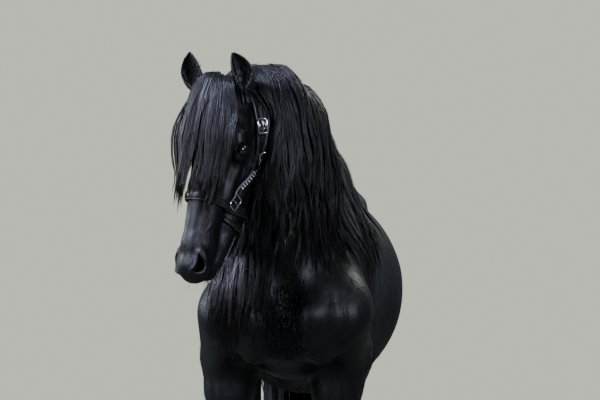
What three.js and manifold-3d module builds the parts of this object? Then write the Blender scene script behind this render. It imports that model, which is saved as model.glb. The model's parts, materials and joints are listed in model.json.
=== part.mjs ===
// A Friesian horse at life size, standing square with its neck arched and its head turned to its right.
// Millimetres, +Z up. The horse faces -Y, and its left side is +X.
// All flesh is one smooth field built from bones and muscles, and each sub-part is a piece of its surface.
import * as THREE from "three";
import { mergeVertices } from "three/addons/utils/BufferGeometryUtils.js";
import Module from "manifold-3d";

const wasm = await Module();
wasm.setup();
const { Manifold, Mesh } = wasm;

// Driving dimensions
const WITHERS_HEIGHT = 1630;
const SADDLE_HEIGHT = 1545; // the lowest point of the back
const CROUP_HEIGHT = 1600;
const GIRTH_HEIGHT = 905; // the underside of the chest between the elbows
const BARREL_HALF_WIDTH = 297;
const FORE_TRACK = { left: 126, right: 190 }; // from the middle of the horse to the middle of a fore hoof
const HIND_TRACK = { left: 146, right: 146 };
const FORE_COLUMN = 300; // how far the cannon of a foreleg stands behind the point of the shoulder
const HIND_COLUMN = 1500;
const HEAD_LENGTH = 600;
const HEAD_YAW = THREE.MathUtils.degToRad(35); // turned to the horse's right
const HEAD_ROLL = THREE.MathUtils.degToRad(1); // its left side is the lower
const FACE_PITCH = THREE.MathUtils.degToRad(78); // the face line below the horizontal
const FOREHEAD = new THREE.Vector3(-210, -247, 1820); // top of the face line
const EYE_RADIUS = 20;
const EAR_LENGTH = 132;
const GAP = 0.3; // between sub-parts that touch
const ELBOW_CUT = 900; // height at which a foreleg parts from the torso
const STIFLE_CUT = 930; // height at which a hind leg parts from it
const HOOF_CUT = 78; // height of the coronet at the middle of the hoof
const HOOF_SLOPE = 0.25; // fall of the coronet towards the heel
const MERGE = 1e-3; // corners nearer than this are one
const CUT_MARGIN = 40; // how far a piece is built past its cut before it is trimmed

const LEFT = new THREE.Vector3(1, 0, 0);
const BACK = new THREE.Vector3(0, 1, 0);
const FORWARD = new THREE.Vector3(0, -1, 0);
const UP = new THREE.Vector3(0, 0, 1);
const DOWN = new THREE.Vector3(0, 0, -1);

const { lerp, clamp, degToRad } = THREE.MathUtils;
const vec = (x, y, z) => new THREE.Vector3(x, y, z);
const bell = (t) => Math.sin(Math.PI * clamp(t, 0, 1));

// The same draws on every run
let seed = 7;
function draw() {
  seed = (seed * 16807) % 2147483647;
  return seed / 2147483647;
}
const spread = (amount) => (2 * draw() - 1) * amount;

// The head's own frame: across to its left, along the face line to the lips, and back towards the jaw.
const heading = vec(-Math.sin(HEAD_YAW), -Math.cos(HEAD_YAW), 0);
const headLeft = vec(Math.cos(HEAD_YAW), -Math.sin(HEAD_YAW), 0).applyAxisAngle(heading, -HEAD_ROLL);
const headDown = heading.clone().applyAxisAngle(headLeft, FACE_PITCH);
const headBack = headLeft.clone().cross(headDown);

function headPoint(across, along, back) {
  return FOREHEAD.clone()
    .addScaledVector(headLeft, across)
    .addScaledVector(headDown, along)
    .addScaledVector(headBack, back);
}

// One bone or muscle: a rod between two points with round ends, whose section is an ellipse.
// Each end has its half width across and its half depth, and blend is how softly it joins the rest.
function muscle(from, to, [widthA, depthA], [widthB, depthB], blend, left = LEFT) {
  const axis = to.clone().sub(from);
  const length = Math.max(axis.length(), 1e-3);
  const along = axis.lengthSq() < 1 ? DOWN.clone() : axis.clone().normalize();
  const across = left.clone().addScaledVector(along, -left.dot(along)).normalize();
  const deep = along.clone().cross(across);
  const reach = length / 2 + Math.max(widthA, depthA, widthB, depthB);
  const middle = from.clone().add(to).multiplyScalar(0.5);
  return { from, length, along, across, deep, widthA, depthA, widthB, depthB, blend, reach, middle };
}

function distanceTo(m, x, y, z) {
  const px = x - m.from.x;
  const py = y - m.from.y;
  const pz = z - m.from.z;
  const run = px * m.along.x + py * m.along.y + pz * m.along.z;
  const t = clamp(run / m.length, 0, 1);
  const width = lerp(m.widthA, m.widthB, t);
  const depth = lerp(m.depthA, m.depthB, t);
  const end = Math.min(width, depth);
  const a = (px * m.across.x + py * m.across.y + pz * m.across.z) / width;
  const b = (px * m.deep.x + py * m.deep.y + pz * m.deep.z) / depth;
  const c = (run - t * m.length) / end;
  const near = Math.hypot(a, b, c);
  if (near < 1e-6) return -end;
  return (near * (near - 1)) / Math.hypot(a / width, b / depth, c / end);
}

function flesh(muscles) {
  return (p) => {
    let found = 1e9;
    for (const m of muscles) {
      const far = Math.hypot(p.x - m.middle.x, p.y - m.middle.y, p.z - m.middle.z) - m.reach;
      if (far > found + m.blend) continue;
      const d = distanceTo(m, p.x, p.y, p.z);
      const mix = Math.max(m.blend - Math.abs(found - d), 0) / m.blend;
      found = Math.min(found, d) - (mix * mix * m.blend) / 4;
    }
    return found;
  };
}

function slope(field, p, step = 4) {
  const at = (x, y, z) => field(vec(p.x + x, p.y + y, p.z + z));
  return vec(
    at(step, 0, 0) - at(-step, 0, 0),
    at(0, step, 0) - at(0, -step, 0),
    at(0, 0, step) - at(0, 0, -step),
  ).normalize();
}

// The spine is bent a little: the barrel swings to the left and the croup to the right.
function sway(y) {
  const barrel = 26 * bell((y - 250) / 1050);
  return barrel - 56 * THREE.MathUtils.smoothstep(y, 900, 1450);
}

// Trunk: ribs, withers, loins, croup and breastbone
const trunkMuscles = [
  muscle(vec(0, 150, 1185), vec(0, 420, 1192), [180, 235], [240, 287], 60),
  muscle(vec(0, 420, 1192), vec(0, 820, 1168), [240, 287], [BARREL_HALF_WIDTH, 318], 60),
  muscle(vec(0, 820, 1168), vec(0, 1130, 1240), [BARREL_HALF_WIDTH, 318], [262, 288], 60),
  muscle(vec(0, 1130, 1285), vec(0, 1400, 1345), [235, 262], [196, 222], 60),
  muscle(vec(0, 360, WITHERS_HEIGHT - 75), vec(0, 640, WITHERS_HEIGHT - 95), [52, 70], [70, 60], 90),
  muscle(vec(0, 620, SADDLE_HEIGHT - 72), vec(0, 1100, CROUP_HEIGHT - 90), [130, 70], [140, 75], 60),
  muscle(vec(0, 1180, CROUP_HEIGHT - 92), vec(0, 1560, 1395), [95, 85], [80, 80], 80),
  muscle(vec(0, 230, GIRTH_HEIGHT + 85), vec(0, 460, GIRTH_HEIGHT + 80), [85, 80], [110, 78], 60),
];

// Forehand and haunch, given for the left side and repeated on the right
function sideMuscles(side, foreTrack, hindTrack) {
  const at = (x, y, z) => vec(side * x, y, z);
  const fore = (x, y, z) => at(foreTrack + x, FORE_COLUMN + y, z);
  const hind = (x, y, z) => at(hindTrack + x, HIND_COLUMN + y, z);
  // The arm leans out as far as its leg stands out.
  const shoulderX = 132 + 0.3 * foreTrack;
  const elbowX = 50 + 0.79 * foreTrack;
  const tricepsX = 44 + 0.77 * foreTrack;
  return [
    // Shoulder blade, point of the shoulder, upper arm, the muscle behind it and the breast
    muscle(at(70, 440, 1510), at(172, 110, 1150), [62, 130], [80, 110], 60),
    muscle(at(shoulderX, 62, 1115), at(elbowX, 310, 975), [86, 92], [82, 92], 50),
    muscle(at(150, 400, 1290), at(tricepsX, 350, 1000), [80, 125], [78, 100], 55),
    muscle(at(92, 52, 1140), at(98, 170, 1055), [92, 100], [80, 84], 40),
    muscle(at(70, -12, 1105), at(100, 56, 980), [52, 40], [44, 38], 60),
    // Croup, thigh, hamstrings and stifle
    muscle(at(96, 1235, 1415), at(128, 1500, 1322), [122, 150], [114, 140], 70),
    muscle(at(150, 1270, 1290), at(166, 1270, 1060), [106, 186], [90, 168], 70),
    muscle(at(112, 1550, 1335), at(138, 1470, 1010), [90, 96], [78, 92], 60),
    muscle(at(138, 1466, 1000), hind(14, -112, 820), [70, 84], [42, 52], 50),
    muscle(at(172, 1158, 1060), at(182, 1160, 985), [74, 74], [64, 70], 50),
    // Forearm, knee, cannon, fetlock and pastern
    muscle(at((foreTrack + 190) / 2, 325, 990), fore(8, 20, 870), [84, 110], [76, 94], 45),
    muscle(fore(8, 20, 870), fore(4, 6, 725), [76, 94], [54, 64], 30),
    muscle(fore(4, 6, 725), fore(2, -4, 600), [54, 64], [43, 48], 25),
    muscle(fore(1, -10, 555), fore(0, -8, 500), [50, 46], [49, 44], 30),
    muscle(fore(0, 8, 540), fore(0, 14, 505), [30, 40], [26, 34], 25),
    muscle(fore(0, 0, 500), fore(0, 2, 360), [37, 42], [31, 39], 20),
    muscle(fore(0, 2, 360), fore(0, 2, 225), [31, 39], [35, 43], 20),
    muscle(fore(0, 0, 215), fore(0, -2, 190), [42, 46], [41, 46], 20),
    muscle(fore(0, -8, 180), fore(0, -42, 110), [36, 37], [40, 42], 20),
    muscle(fore(0, -48, 100), fore(0, -58, 60), [53, 55], [60, 63], 16),
    // Gaskin, hock, hind cannon, fetlock and pastern
    muscle(at(178, 1290, 1010), hind(38, -215, 930), [86, 158], [76, 140], 45),
    muscle(hind(38, -215, 930), hind(20, -108, 760), [76, 128], [52, 76], 35),
    muscle(hind(20, -108, 760), hind(4, -22, 655), [52, 72], [43, 54], 25),
    muscle(hind(6, -60, 860), hind(2, 46, 668), [20, 26], [20, 22], 30),
    muscle(hind(2, 40, 668), hind(0, 36, 610), [27, 30], [30, 30], 20),
    muscle(hind(3, -16, 650), hind(0, -6, 560), [48, 56], [42, 50], 25),
    muscle(hind(0, -2, 560), hind(0, 0, 400), [40, 48], [33, 41], 20),
    muscle(hind(0, 0, 400), hind(0, -2, 235), [33, 41], [36, 45], 20),
    muscle(hind(0, -4, 225), hind(0, -8, 198), [43, 48], [42, 48], 20),
    muscle(hind(0, -14, 188), hind(0, -46, 112), [37, 38], [41, 43], 20),
    muscle(hind(0, -52, 102), hind(0, -62, 60), [53, 55], [60, 63], 16),
  ];
}

// The neck's stations, from its base between the shoulders to the poll
const turned = (degrees) => vec(Math.cos(degToRad(degrees)), -Math.sin(degToRad(degrees)), 0);
const neckStations = [
  { at: vec(0, 250, 1370), width: 130, depth: 282, left: turned(0) },
  { at: vec(0, 120, 1512), width: 112, depth: 254, left: turned(4) },
  { at: vec(-18, 16, 1626), width: 96, depth: 220, left: turned(14) },
  { at: vec(-62, -60, 1693), width: 86, depth: 176, left: turned(27) },
  { at: vec(-112, -120, 1712), width: 75, depth: 136, left: turned(34) },
  { at: vec(-148, -168, 1720), width: 60, depth: 84, left: turned(35) },
];
const neckMuscles = neckStations.slice(1).map((to, i) => {
  const from = neckStations[i];
  return muscle(from.at, to.at, [from.width, from.depth], [to.width, to.depth], 50, from.left);
});

// The head in its own frame
function headMuscle(from, to, sizeA, sizeB, blend) {
  return muscle(headPoint(...from), headPoint(...to), sizeA, sizeB, blend, headLeft);
}

const skullMuscles = [
  headMuscle([0, 38, 90], [0, 150, 96], [62, 78], [82, 92], 40),
  headMuscle([0, 150, 90], [0, 330, 80], [82, 88], [52, 76], 30),
  headMuscle([0, 330, 74], [0, 490, 66], [52, 70], [45, 60], 24),
  headMuscle([0, 490, 66], [0, HEAD_LENGTH - 48, 62], [46, 60], [50, 53], 20),
  headMuscle([0, HEAD_LENGTH - 50, 48], [0, HEAD_LENGTH - 28, 62], [42, 36], [40, 30], 16),
  headMuscle([0, 505, 124], [0, HEAD_LENGTH - 38, 114], [36, 30], [37, 27], 14),
];

function faceMuscles(side) {
  return [
    // Jaw and cheek, brow, cheekbone, nostril and the root of the ear
    headMuscle([side * 48, 150, 190], [side * 50, 258, 198], [27, 84], [25, 82], 26),
    headMuscle([side * 48, 258, 190], [side * 32, 415, 152], [25, 74], [21, 38], 22),
    headMuscle([side * 30, 415, 152], [side * 22, 525, 126], [23, 36], [22, 26], 18),
    headMuscle([side * 80, 156, 70], [side * 82, 214, 84], [24, 26], [24, 28], 18),
    headMuscle([side * 69, 215, 108], [side * 50, 350, 94], [15, 15], [11, 13], 20),
    headMuscle([side * 38, 515, 42], [side * 42, 562, 52], [16, 22], [18, 26], 14),
    headMuscle([side * 66, 22, 80], [side * 62, 66, 86], [26, 26], [30, 34], 24),
  ];
}

const headMuscles = [...skullMuscles, ...faceMuscles(1), ...faceMuscles(-1)];
const bodyMuscles = [
  ...trunkMuscles,
  ...sideMuscles(1, FORE_TRACK.left, HIND_TRACK.left),
  ...sideMuscles(-1, FORE_TRACK.right, HIND_TRACK.right),
  ...neckMuscles,
];
const straightBody = flesh(bodyMuscles);
const body = (p) => straightBody(vec(p.x - sway(p.y), p.y, p.z));
const head = flesh(headMuscles);

// The plane at which the neck parts from the torso
const neckBase = { at: vec(0, 205, 1412), normal: vec(0, -0.64, 0.768).normalize() };
const past = (plane, p) => plane.normal.dot(p.clone().sub(plane.at));

// Solids from meshes, and meshes from solids
function solidOf(points, faces) {
  const geometry = new THREE.BufferGeometry();
  const places = points.flatMap((p) => p.toArray());
  geometry.setAttribute("position", new THREE.Float32BufferAttribute(places, 3));
  geometry.setIndex(faces.flat());
  return fromGeometry(geometry);
}

function fromGeometry(geometry, matrix) {
  const bare = geometry.clone();
  bare.deleteAttribute("normal");
  bare.deleteAttribute("uv");
  if (matrix) bare.applyMatrix4(matrix);
  const merged = mergeVertices(bare, 1e-4);
  const make = (triVerts) =>
    new Manifold(new Mesh({ numProp: 3, vertProperties: merged.attributes.position.array, triVerts }));
  const made = make(new Uint32Array(merged.index.array));
  if (made.volume() > 0) return made;
  const flipped = new Uint32Array(merged.index.array);
  for (let i = 0; i < flipped.length; i += 3) {
    [flipped[i + 1], flipped[i + 2]] = [flipped[i + 2], flipped[i + 1]];
  }
  return make(flipped);
}

function meshed(solid) {
  const mesh = solid.getMesh();
  const points = new Float32Array(mesh.numVert * 3);
  for (let i = 0; i < mesh.numVert; i++) {
    points.set(mesh.vertProperties.subarray(i * mesh.numProp, i * mesh.numProp + 3), i * 3);
  }
  const raw = new THREE.BufferGeometry();
  raw.setAttribute("position", new THREE.BufferAttribute(points, 3));
  raw.setIndex(new THREE.BufferAttribute(mesh.triVerts, 1));
  const merged = mergeVertices(raw, MERGE);
  merged.setIndex(faceList(merged).flat());
  return merged;
}

// The faces of a mesh without slivers; two faces back to back on the same corners cancel out.
function faceList({ index: { array: corners } }) {
  const faces = new Map();
  for (let i = 0; i < corners.length; i += 3) {
    const [a, b, c] = corners.subarray(i, i + 3);
    if (a === b || b === c || c === a) continue;
    const key = [a, b, c].sort((p, q) => p - q).join(" ");
    if (!faces.delete(key)) faces.set(key, [a, b, c]);
  }
  return [...faces.values()];
}

// The largest closed surface, which leaves out loose scraps and sealed hollows. Merging corners
// can close off another hollow, so the surface is taken apart again until one is left.
function toGeometry(solid) {
  let geometry;
  let pieces = solid.decompose();
  do {
    geometry = meshed(pieces.reduce((a, b) => (b.volume() > a.volume() ? b : a)));
    pieces = fromGeometry(geometry).decompose();
  } while (pieces.length > 1);
  return geometry;
}

const union = (solids) => Manifold.union(solids);

// A frame in space as a matrix
function placed(at, across, up, out) {
  return new THREE.Matrix4().makeBasis(across, up, out).setPosition(at);
}

// Rings of points joined into a closed skin; each end closes on a middle point.
function skinned(rings, first, last) {
  const points = rings.flat();
  const sides = rings[0].length;
  const faces = [];
  for (let r = 0; r + 1 < rings.length; r++) {
    for (let s = 0; s < sides; s++) {
      const a = r * sides + s;
      const b = r * sides + ((s + 1) % sides);
      faces.push([a, b, a + sides], [b, b + sides, a + sides]);
    }
  }
  const top = points.push(first) - 1;
  const end = points.push(last) - 1;
  const lastRing = (rings.length - 1) * sides;
  for (let s = 0; s < sides; s++) {
    const next = (s + 1) % sides;
    faces.push([top, next, s], [end, lastRing + s, lastRing + next]);
  }
  return solidOf(points, faces);
}

// The first point along a ray from inside the flesh where it leaves the skin
function surfaceAlong(field, from, direction, reach, level = 0) {
  const at = (r) => from.clone().addScaledVector(direction, r);
  let low = 0;
  let high = 0;
  while (high < reach) {
    const inside = level - field(at(high));
    if (inside <= 0) break;
    low = high;
    high += clamp(inside * 0.7, 2, 40);
  }
  if (high >= reach) return at(reach);
  for (let i = 0; i < 14; i++) {
    const middle = (low + high) / 2;
    if (field(at(middle)) < level) low = middle;
    else high = middle;
  }
  return at(low);
}

// A ring round each station. A station has its middle, its directions across and up,
// and may lean its rays towards one end of the body so that the end is rounded.
function ringed(field, stations, sides, level, ends) {
  const rings = stations.map(({ at, across, up, lean, towards }) =>
    Array.from({ length: sides }, (_, s) => {
      const angle = (2 * Math.PI * s) / sides;
      const ray = across.clone().multiplyScalar(Math.cos(angle)).addScaledVector(up, Math.sin(angle));
      if (lean) ray.multiplyScalar(Math.cos(lean)).addScaledVector(towards, Math.sin(lean));
      return surfaceAlong(field, at, ray.normalize(), 700, level);
    }),
  );
  const [first, last] = ends.map(([at, direction]) => surfaceAlong(field, at, direction, 700, level));
  return skinned(rings, first, last);
}

// Stations whose rays fan from square across to nearly straight ahead
function fan(at, across, up, towards, count) {
  return Array.from({ length: count }, (_, i) => {
    const lean = degToRad(lerp(90, 0, (i + 1) / (count + 1)));
    return { at, across, up, lean, towards };
  });
}

function trimmed(solid, plane, keep, slack = GAP / 2) {
  const normal = plane.normal.clone().multiplyScalar(keep);
  return solid.trimByPlane(normal.toArray(), normal.dot(plane.at) + slack);
}

function boxSolid(low, high) {
  const size = high.clone().sub(low);
  const middle = low.clone().add(high).multiplyScalar(0.5);
  return fromGeometry(
    new THREE.BoxGeometry(...size.toArray()),
    new THREE.Matrix4().makeTranslation(...middle.toArray()),
  );
}

// Torso, from the breast to the buttocks, without the neck and the free parts of the legs
const LEG_REGIONS = [
  { front: -300, rear: 470, cut: ELBOW_CUT },
  { front: 1125, rear: 2100, cut: STIFLE_CUT },
];
function torsoField(p) {
  let found = Math.max(body(p), past(neckBase, p) - CUT_MARGIN);
  for (const { front, rear, cut } of LEG_REGIONS) {
    const inside = Math.max(p.z - cut, front - p.y, p.y - rear) + CUT_MARGIN;
    found = Math.max(found, -inside);
  }
  return found;
}

function torsoStations() {
  const breast = vec(0, 120, 1140);
  const buttock = vec(sway(1530), 1530, 1290);
  const middle = new THREE.CatmullRomCurve3([
    breast,
    vec(0, 420, 1190),
    vec(0, 800, 1190),
    vec(0, 1130, 1250),
    buttock,
  ]);
  const places = Array.from({ length: 16 }, (_, i) => {
    const at = middle.getPointAt(i / 15);
    at.x = sway(at.y);
    return { at, across: LEFT, up: UP };
  });
  return [
    ...fan(breast, LEFT, UP, FORWARD, 4),
    ...places,
    ...fan(buttock, LEFT, UP, BACK, 4).reverse(),
  ];
}

function torsoSkin(level) {
  const stations = torsoStations();
  const ends = [
    [stations[0].at, FORWARD],
    [stations[stations.length - 1].at, BACK],
  ];
  return ringed(torsoField, stations, 32, level, ends);
}

function withoutLegs(solid, slack) {
  return LEG_REGIONS.reduce(
    (left, { front, rear, cut }) =>
      left.subtract(boxSolid(vec(-700, front, -100), vec(700, rear + slack, cut + slack))),
    solid,
  );
}

const torsoSolid = trimmed(withoutLegs(torsoSkin(0), GAP / 2), neckBase, -1);
const torsoOutside = trimmed(withoutLegs(torsoSkin(GAP), 0), neckBase, -1, 0);

// Neck
const neckLine = new THREE.CatmullRomCurve3(neckStations.map((s) => s.at));
function alongNeck(t) {
  const place = t * (neckStations.length - 1);
  const i = Math.min(Math.floor(place), neckStations.length - 2);
  const at = neckLine.getPoint(t);
  const along = neckLine.getTangent(t);
  const left = neckStations[i].left.clone().lerp(neckStations[i + 1].left, place - i).normalize();
  const up = left.clone().cross(along);
  if (up.z < 0) up.negate();
  up.normalize();
  const across = along.clone().cross(up).normalize();
  if (across.dot(left) < 0) across.negate();
  return { at, across, up, along };
}

function neckSkin() {
  const count = 11;
  const stations = Array.from({ length: count }, (_, i) => alongNeck(i / (count - 1)));
  const last = stations[count - 1];
  const ends = [
    [stations[0].at, stations[0].along.clone().negate()],
    [last.at, last.along],
  ];
  const low = ringed(body, stations, 20, 0, ends);
  return trimmed(low, neckBase, 1);
}

// Head
function headStations() {
  const count = 19;
  const poll = headPoint(0, 60, 90);
  const lips = headPoint(0, HEAD_LENGTH - 55, 80);
  const places = Array.from({ length: count }, (_, i) => {
    const t = i / (count - 1);
    return { at: poll.clone().lerp(lips, t), across: headLeft, up: headBack };
  });
  const upward = headDown.clone().negate();
  return [
    ...fan(poll, headLeft, headBack, upward, 3),
    ...places,
    ...fan(lips, headLeft, headBack, headDown, 4).reverse(),
  ];
}

function headSkin(level) {
  const stations = headStations();
  const ends = [
    [stations[0].at, headDown.clone().negate()],
    [stations[stations.length - 1].at, headDown],
  ];
  return ringed(head, stations, 24, level, ends);
}
const headOutside = headSkin(GAP);

// Eyes, each in a socket with lids
const gaze = (side) =>
  headLeft
    .clone()
    .multiplyScalar(side * 0.93)
    .addScaledVector(headBack, -0.34)
    .addScaledVector(headDown, 0.1)
    .normalize();
const eyeAt = (side) => headPoint(side * 88, 198, 84);

function ball(at, across, up, out, [sizeAcross, sizeUp, sizeOut], columns, rows) {
  const matrix = placed(at, across, up, out).scale(vec(sizeAcross, sizeUp, sizeOut));
  return fromGeometry(new THREE.SphereGeometry(1, columns, rows), matrix);
}

function eyeFrame(side) {
  const out = gaze(side);
  const up = headDown.clone().negate().addScaledVector(out, out.dot(headDown)).normalize();
  return { at: eyeAt(side), across: up.clone().cross(out), up, out };
}

function eyeSolid(side, grow) {
  const { at, across, up, out } = eyeFrame(side);
  const size = EYE_RADIUS + grow;
  return ball(at, across, up, out, [size, size, size], 12, 8);
}

function lids(side) {
  const { at, across, up, out } = eyeFrame(side);
  const size = EYE_RADIUS + 4.5;
  return ball(at, across, up, out, [size, size + 2, size], 10, 7);
}

function lidOpening(side) {
  const { at, across, up, out } = eyeFrame(side);
  const middle = at.clone().addScaledVector(out, EYE_RADIUS);
  return ball(middle, across, up, out, [12, 19, 13], 10, 6);
}

// A nostril is a hollow shaped like a comma, opening forwards and outwards.
function nostril(side) {
  const out = headLeft
    .clone()
    .multiplyScalar(side * 0.72)
    .addScaledVector(headBack, -0.62)
    .addScaledVector(headDown, 0.3)
    .normalize();
  const middle = headPoint(side * 46, 552, 30);
  const up = headDown.clone().negate().addScaledVector(headLeft, side * 0.3);
  up.addScaledVector(out, -up.dot(out)).normalize();
  return ball(middle, up.clone().cross(out), up, out, [12, 21, 18], 10, 6);
}

// The mouth is a narrow slot between the lips, running back to its corners.
function mouth() {
  const line = [
    [HEAD_LENGTH + 40, 82],
    [HEAD_LENGTH - 40, 84],
    [HEAD_LENGTH - 80, 92],
    [HEAD_LENGTH - 112, 100],
  ];
  const slotRings = line.map(([t, b], i) => {
    const half = i === line.length - 1 ? 0.5 : 1.3;
    return [
      [-80, -half],
      [80, -half],
      [80, half],
      [-80, half],
    ].map(([a, k]) => headPoint(a, t, b + k));
  });
  return skinned(slotRings, headPoint(0, ...line[0]), headPoint(0, ...line[line.length - 1]));
}

// Legs
const coronet = (y) => ({ at: vec(0, y, HOOF_CUT), normal: vec(0, HOOF_SLOPE, 1).normalize() });

function legSolid(side, joints, { front, rear, cut }, hoofY) {
  const field = (p) => {
    const within = Math.max(p.z - cut - CUT_MARGIN, 5 - side * (p.x - sway(p.y)));
    return Math.max(body(p), within, front + 3 - p.y, p.y - rear + 3);
  };
  const curve = new THREE.CatmullRomCurve3(joints);
  const count = 17;
  const stations = Array.from({ length: count }, (_, i) => ({
    at: curve.getPointAt(i / (count - 1)),
    across: LEFT,
    up: BACK,
  }));
  const ends = [
    [stations[0].at, UP],
    [stations[count - 1].at, DOWN],
  ];
  const whole = ringed(field, stations, 12, 0, ends);
  return trimmed(trimmed(whole, { at: vec(0, 0, cut), normal: UP }, -1), coronet(hoofY), 1);
}

// A line down the middle of a leg through its joints
function foreJoints(side, track) {
  return [
    vec(track + 22, FORE_COLUMN + 28, ELBOW_CUT + 25),
    vec(track + 8, FORE_COLUMN + 16, 820),
    vec(track + 4, FORE_COLUMN + 3, 640),
    vec(track + 1, FORE_COLUMN - 4, 525),
    vec(track, FORE_COLUMN, 380),
    vec(track, FORE_COLUMN, 210),
    vec(track, FORE_COLUMN - 42, 110),
    vec(track, FORE_COLUMN - 54, 50),
  ].map((p) => vec(side * p.x + sway(p.y), p.y, p.z));
}

function hindJoints(side, track) {
  return [
    vec(track + 34, HIND_COLUMN - 190, STIFLE_CUT + 25),
    vec(track + 30, HIND_COLUMN - 165, 855),
    vec(track + 12, HIND_COLUMN - 75, 725),
    vec(track + 2, HIND_COLUMN - 8, 620),
    vec(track, HIND_COLUMN, 420),
    vec(track, HIND_COLUMN - 5, 215),
    vec(track, HIND_COLUMN - 46, 112),
    vec(track, HIND_COLUMN - 58, 50),
  ].map((p) => vec(side * p.x + sway(p.y), p.y, p.z));
}

// Hoof: a slanting horn wall from the coronet to a flat sole
function hoofSolid(x, y, grow = 0) {
  const levels = [
    { z: HOOF_CUT + 30, width: 57, length: 60, shift: 6 },
    { z: 12, width: 68, length: 72, shift: -16 },
    { z: 0, width: 69, length: 73, shift: -19 },
  ];
  const sides = 16;
  const rings = levels.map(({ z, width, length, shift }) =>
    Array.from({ length: sides }, (_, s) => {
      const angle = (2 * Math.PI * s) / sides;
      const heel = Math.sin(angle) > 0 ? 0.82 : 1;
      const across = (width + grow) * Math.cos(angle);
      const along = (length * heel + grow) * Math.sin(angle);
      return vec(x + across, y + shift + along, z);
    }),
  );
  const whole = skinned(rings, vec(x, y, levels[0].z), vec(x, y - 16, 0));
  return trimmed(whole, coronet(y), -1, grow ? -GAP : GAP / 2);
}

// Ear: a pointed cup, open to the front, its tip curved inwards
function earFrame(side) {
  const foot = side > 0 ? headPoint(76, 40, 76) : headPoint(-80, 32, 76);
  const tip = side > 0 ? vec(-26, -8, 116) : vec(-36, -8, 106);
  const tall = tip.normalize();
  const open = side > 0 ? vec(0.05, -1, 0.1) : vec(-0.45, -1, 0.1);
  open.addScaledVector(tall, -open.dot(tall)).normalize();
  const across = open.clone().cross(tall).normalize();
  return { foot, tall, open, across };
}

function earShell(side, thickness, forward, from) {
  const { foot, tall, open, across } = earFrame(side);
  const slim = side > 0 ? 0.9 : 1; // the left ear is seen more from its edge
  const count = 8;
  const sides = 8;
  const middles = [];
  const rings = Array.from({ length: count }, (_, i) => {
    const t = lerp(from, 0.96, i / (count - 1));
    const rise = Math.max(t, 0);
    const width = slim * (14 + 20 * bell(0.1 + 0.78 * rise)) * (1 - rise ** 7) - thickness;
    const depth = (18 + 3 * bell(rise)) * (1 - rise ** 5) - thickness;
    const inward = 15 * bell(rise * 0.9) - 8 * rise ** 3;
    const middle = foot
      .clone()
      .addScaledVector(tall, EAR_LENGTH * t)
      .addScaledVector(across, -side * inward)
      .addScaledVector(open, 4 * bell(rise) + forward);
    middles.push(middle);
    return Array.from({ length: sides }, (_, s) => {
      const angle = (2 * Math.PI * s) / sides;
      return middle
        .clone()
        .addScaledVector(across, Math.max(width, 1) * Math.cos(angle))
        .addScaledVector(open, Math.max(depth, 1) * Math.sin(angle));
    });
  });
  const tip = middles[count - 1].clone().addScaledVector(tall, 4 - thickness * 0.6);
  return skinned(rings, middles[0], tip);
}

function earSolid(side) {
  const cup = earShell(side, 0, 0, -0.18).subtract(earShell(side, 4.5, 14, 0.1));
  return cup.subtract(headOutside).subtract(halterGrown);
}

// A flat band that lies on the flesh: each rib has a point inside it and the direction to its skin.
const STRAP_CLEARANCE = 1.6;
function band(field, ribs, width, thickness, closed, grow = 0) {
  const top = STRAP_CLEARANCE + thickness + grow;
  const low = STRAP_CLEARANCE - grow;
  const inner = ribs.map(({ from, out }) => surfaceAlong(field, from, out, 400, low));
  const outer = ribs.map(({ from, out }) => surfaceAlong(field, from, out, 400, top));
  const count = ribs.length;
  const corners = ribs.map(({ out }, i) => {
    const before = outer[closed ? (i + count - 1) % count : Math.max(i - 1, 0)];
    const after = outer[closed ? (i + 1) % count : Math.min(i + 1, count - 1)];
    const along = after.clone().sub(before).normalize();
    const side = along.clone().cross(out).normalize().multiplyScalar(width / 2 + grow);
    return [
      inner[i].clone().sub(side),
      inner[i].clone().add(side),
      outer[i].clone().add(side),
      outer[i].clone().sub(side),
    ];
  });
  const points = corners.flat();
  const faces = [];
  for (let r = 0; r < (closed ? count : count - 1); r++) {
    const next = (r + 1) % count;
    for (let s = 0; s < 4; s++) {
      const a = r * 4 + s;
      const b = r * 4 + ((s + 1) % 4);
      const c = next * 4 + ((s + 1) % 4);
      const d = next * 4 + s;
      faces.push([a, b, c], [a, c, d]);
    }
  }
  const last = (count - 1) * 4;
  if (!closed) faces.push([0, 2, 1], [0, 3, 2], [last, last + 1, last + 2], [last, last + 2, last + 3]);
  return { solid: solidOf(points, faces), outer, ribs };
}

// Halter. Each place on the head is given by its distance along the face and back from it.
// The straps bridge the hollow between the bars of the jaw.
const harness = flesh([
  ...headMuscles,
  headMuscle([0, 190, 196], [0, 420, 156], [50, 76], [34, 36], 20),
]);
const harnessAndNeck = (p) => Math.min(harness(p), body(p));
const NOSE = 362;
const places = {
  nose: [NOSE - 14, 126],
  cheek: [200, 184],
  buckle: [112, 150],
};

function noseRibs() {
  const count = 24;
  return Array.from({ length: count }, (_, i) => {
    const angle = (2 * Math.PI * i) / count;
    const back = 90 - 20 * Math.sin(angle);
    const out = headLeft.clone().multiplyScalar(Math.cos(angle));
    out.addScaledVector(headBack, Math.sin(angle));
    return { from: headPoint(0, NOSE + 10 * Math.sin(angle), back), out: out.normalize() };
  });
}

function chinRibs() {
  const count = 11;
  return Array.from({ length: count }, (_, i) => {
    const angle = lerp(degToRad(14), degToRad(166), i / (count - 1));
    const drop = Math.sin(angle);
    const out = headLeft.clone().multiplyScalar(Math.cos(angle));
    out.addScaledVector(headBack, drop);
    return { from: headPoint(0, NOSE + 24 + 42 * drop, 96), out: out.normalize() };
  });
}

function sideRibs(side, path) {
  const curve = new THREE.CatmullRomCurve3(path.map(([t, b]) => vec(0, t, b)));
  return Array.from({ length: 8 }, (_, i) => {
    const p = curve.getPoint(i / 7);
    return { from: headPoint(side * 46, p.y, p.z), out: headLeft.clone().multiplyScalar(side) };
  });
}

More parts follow.
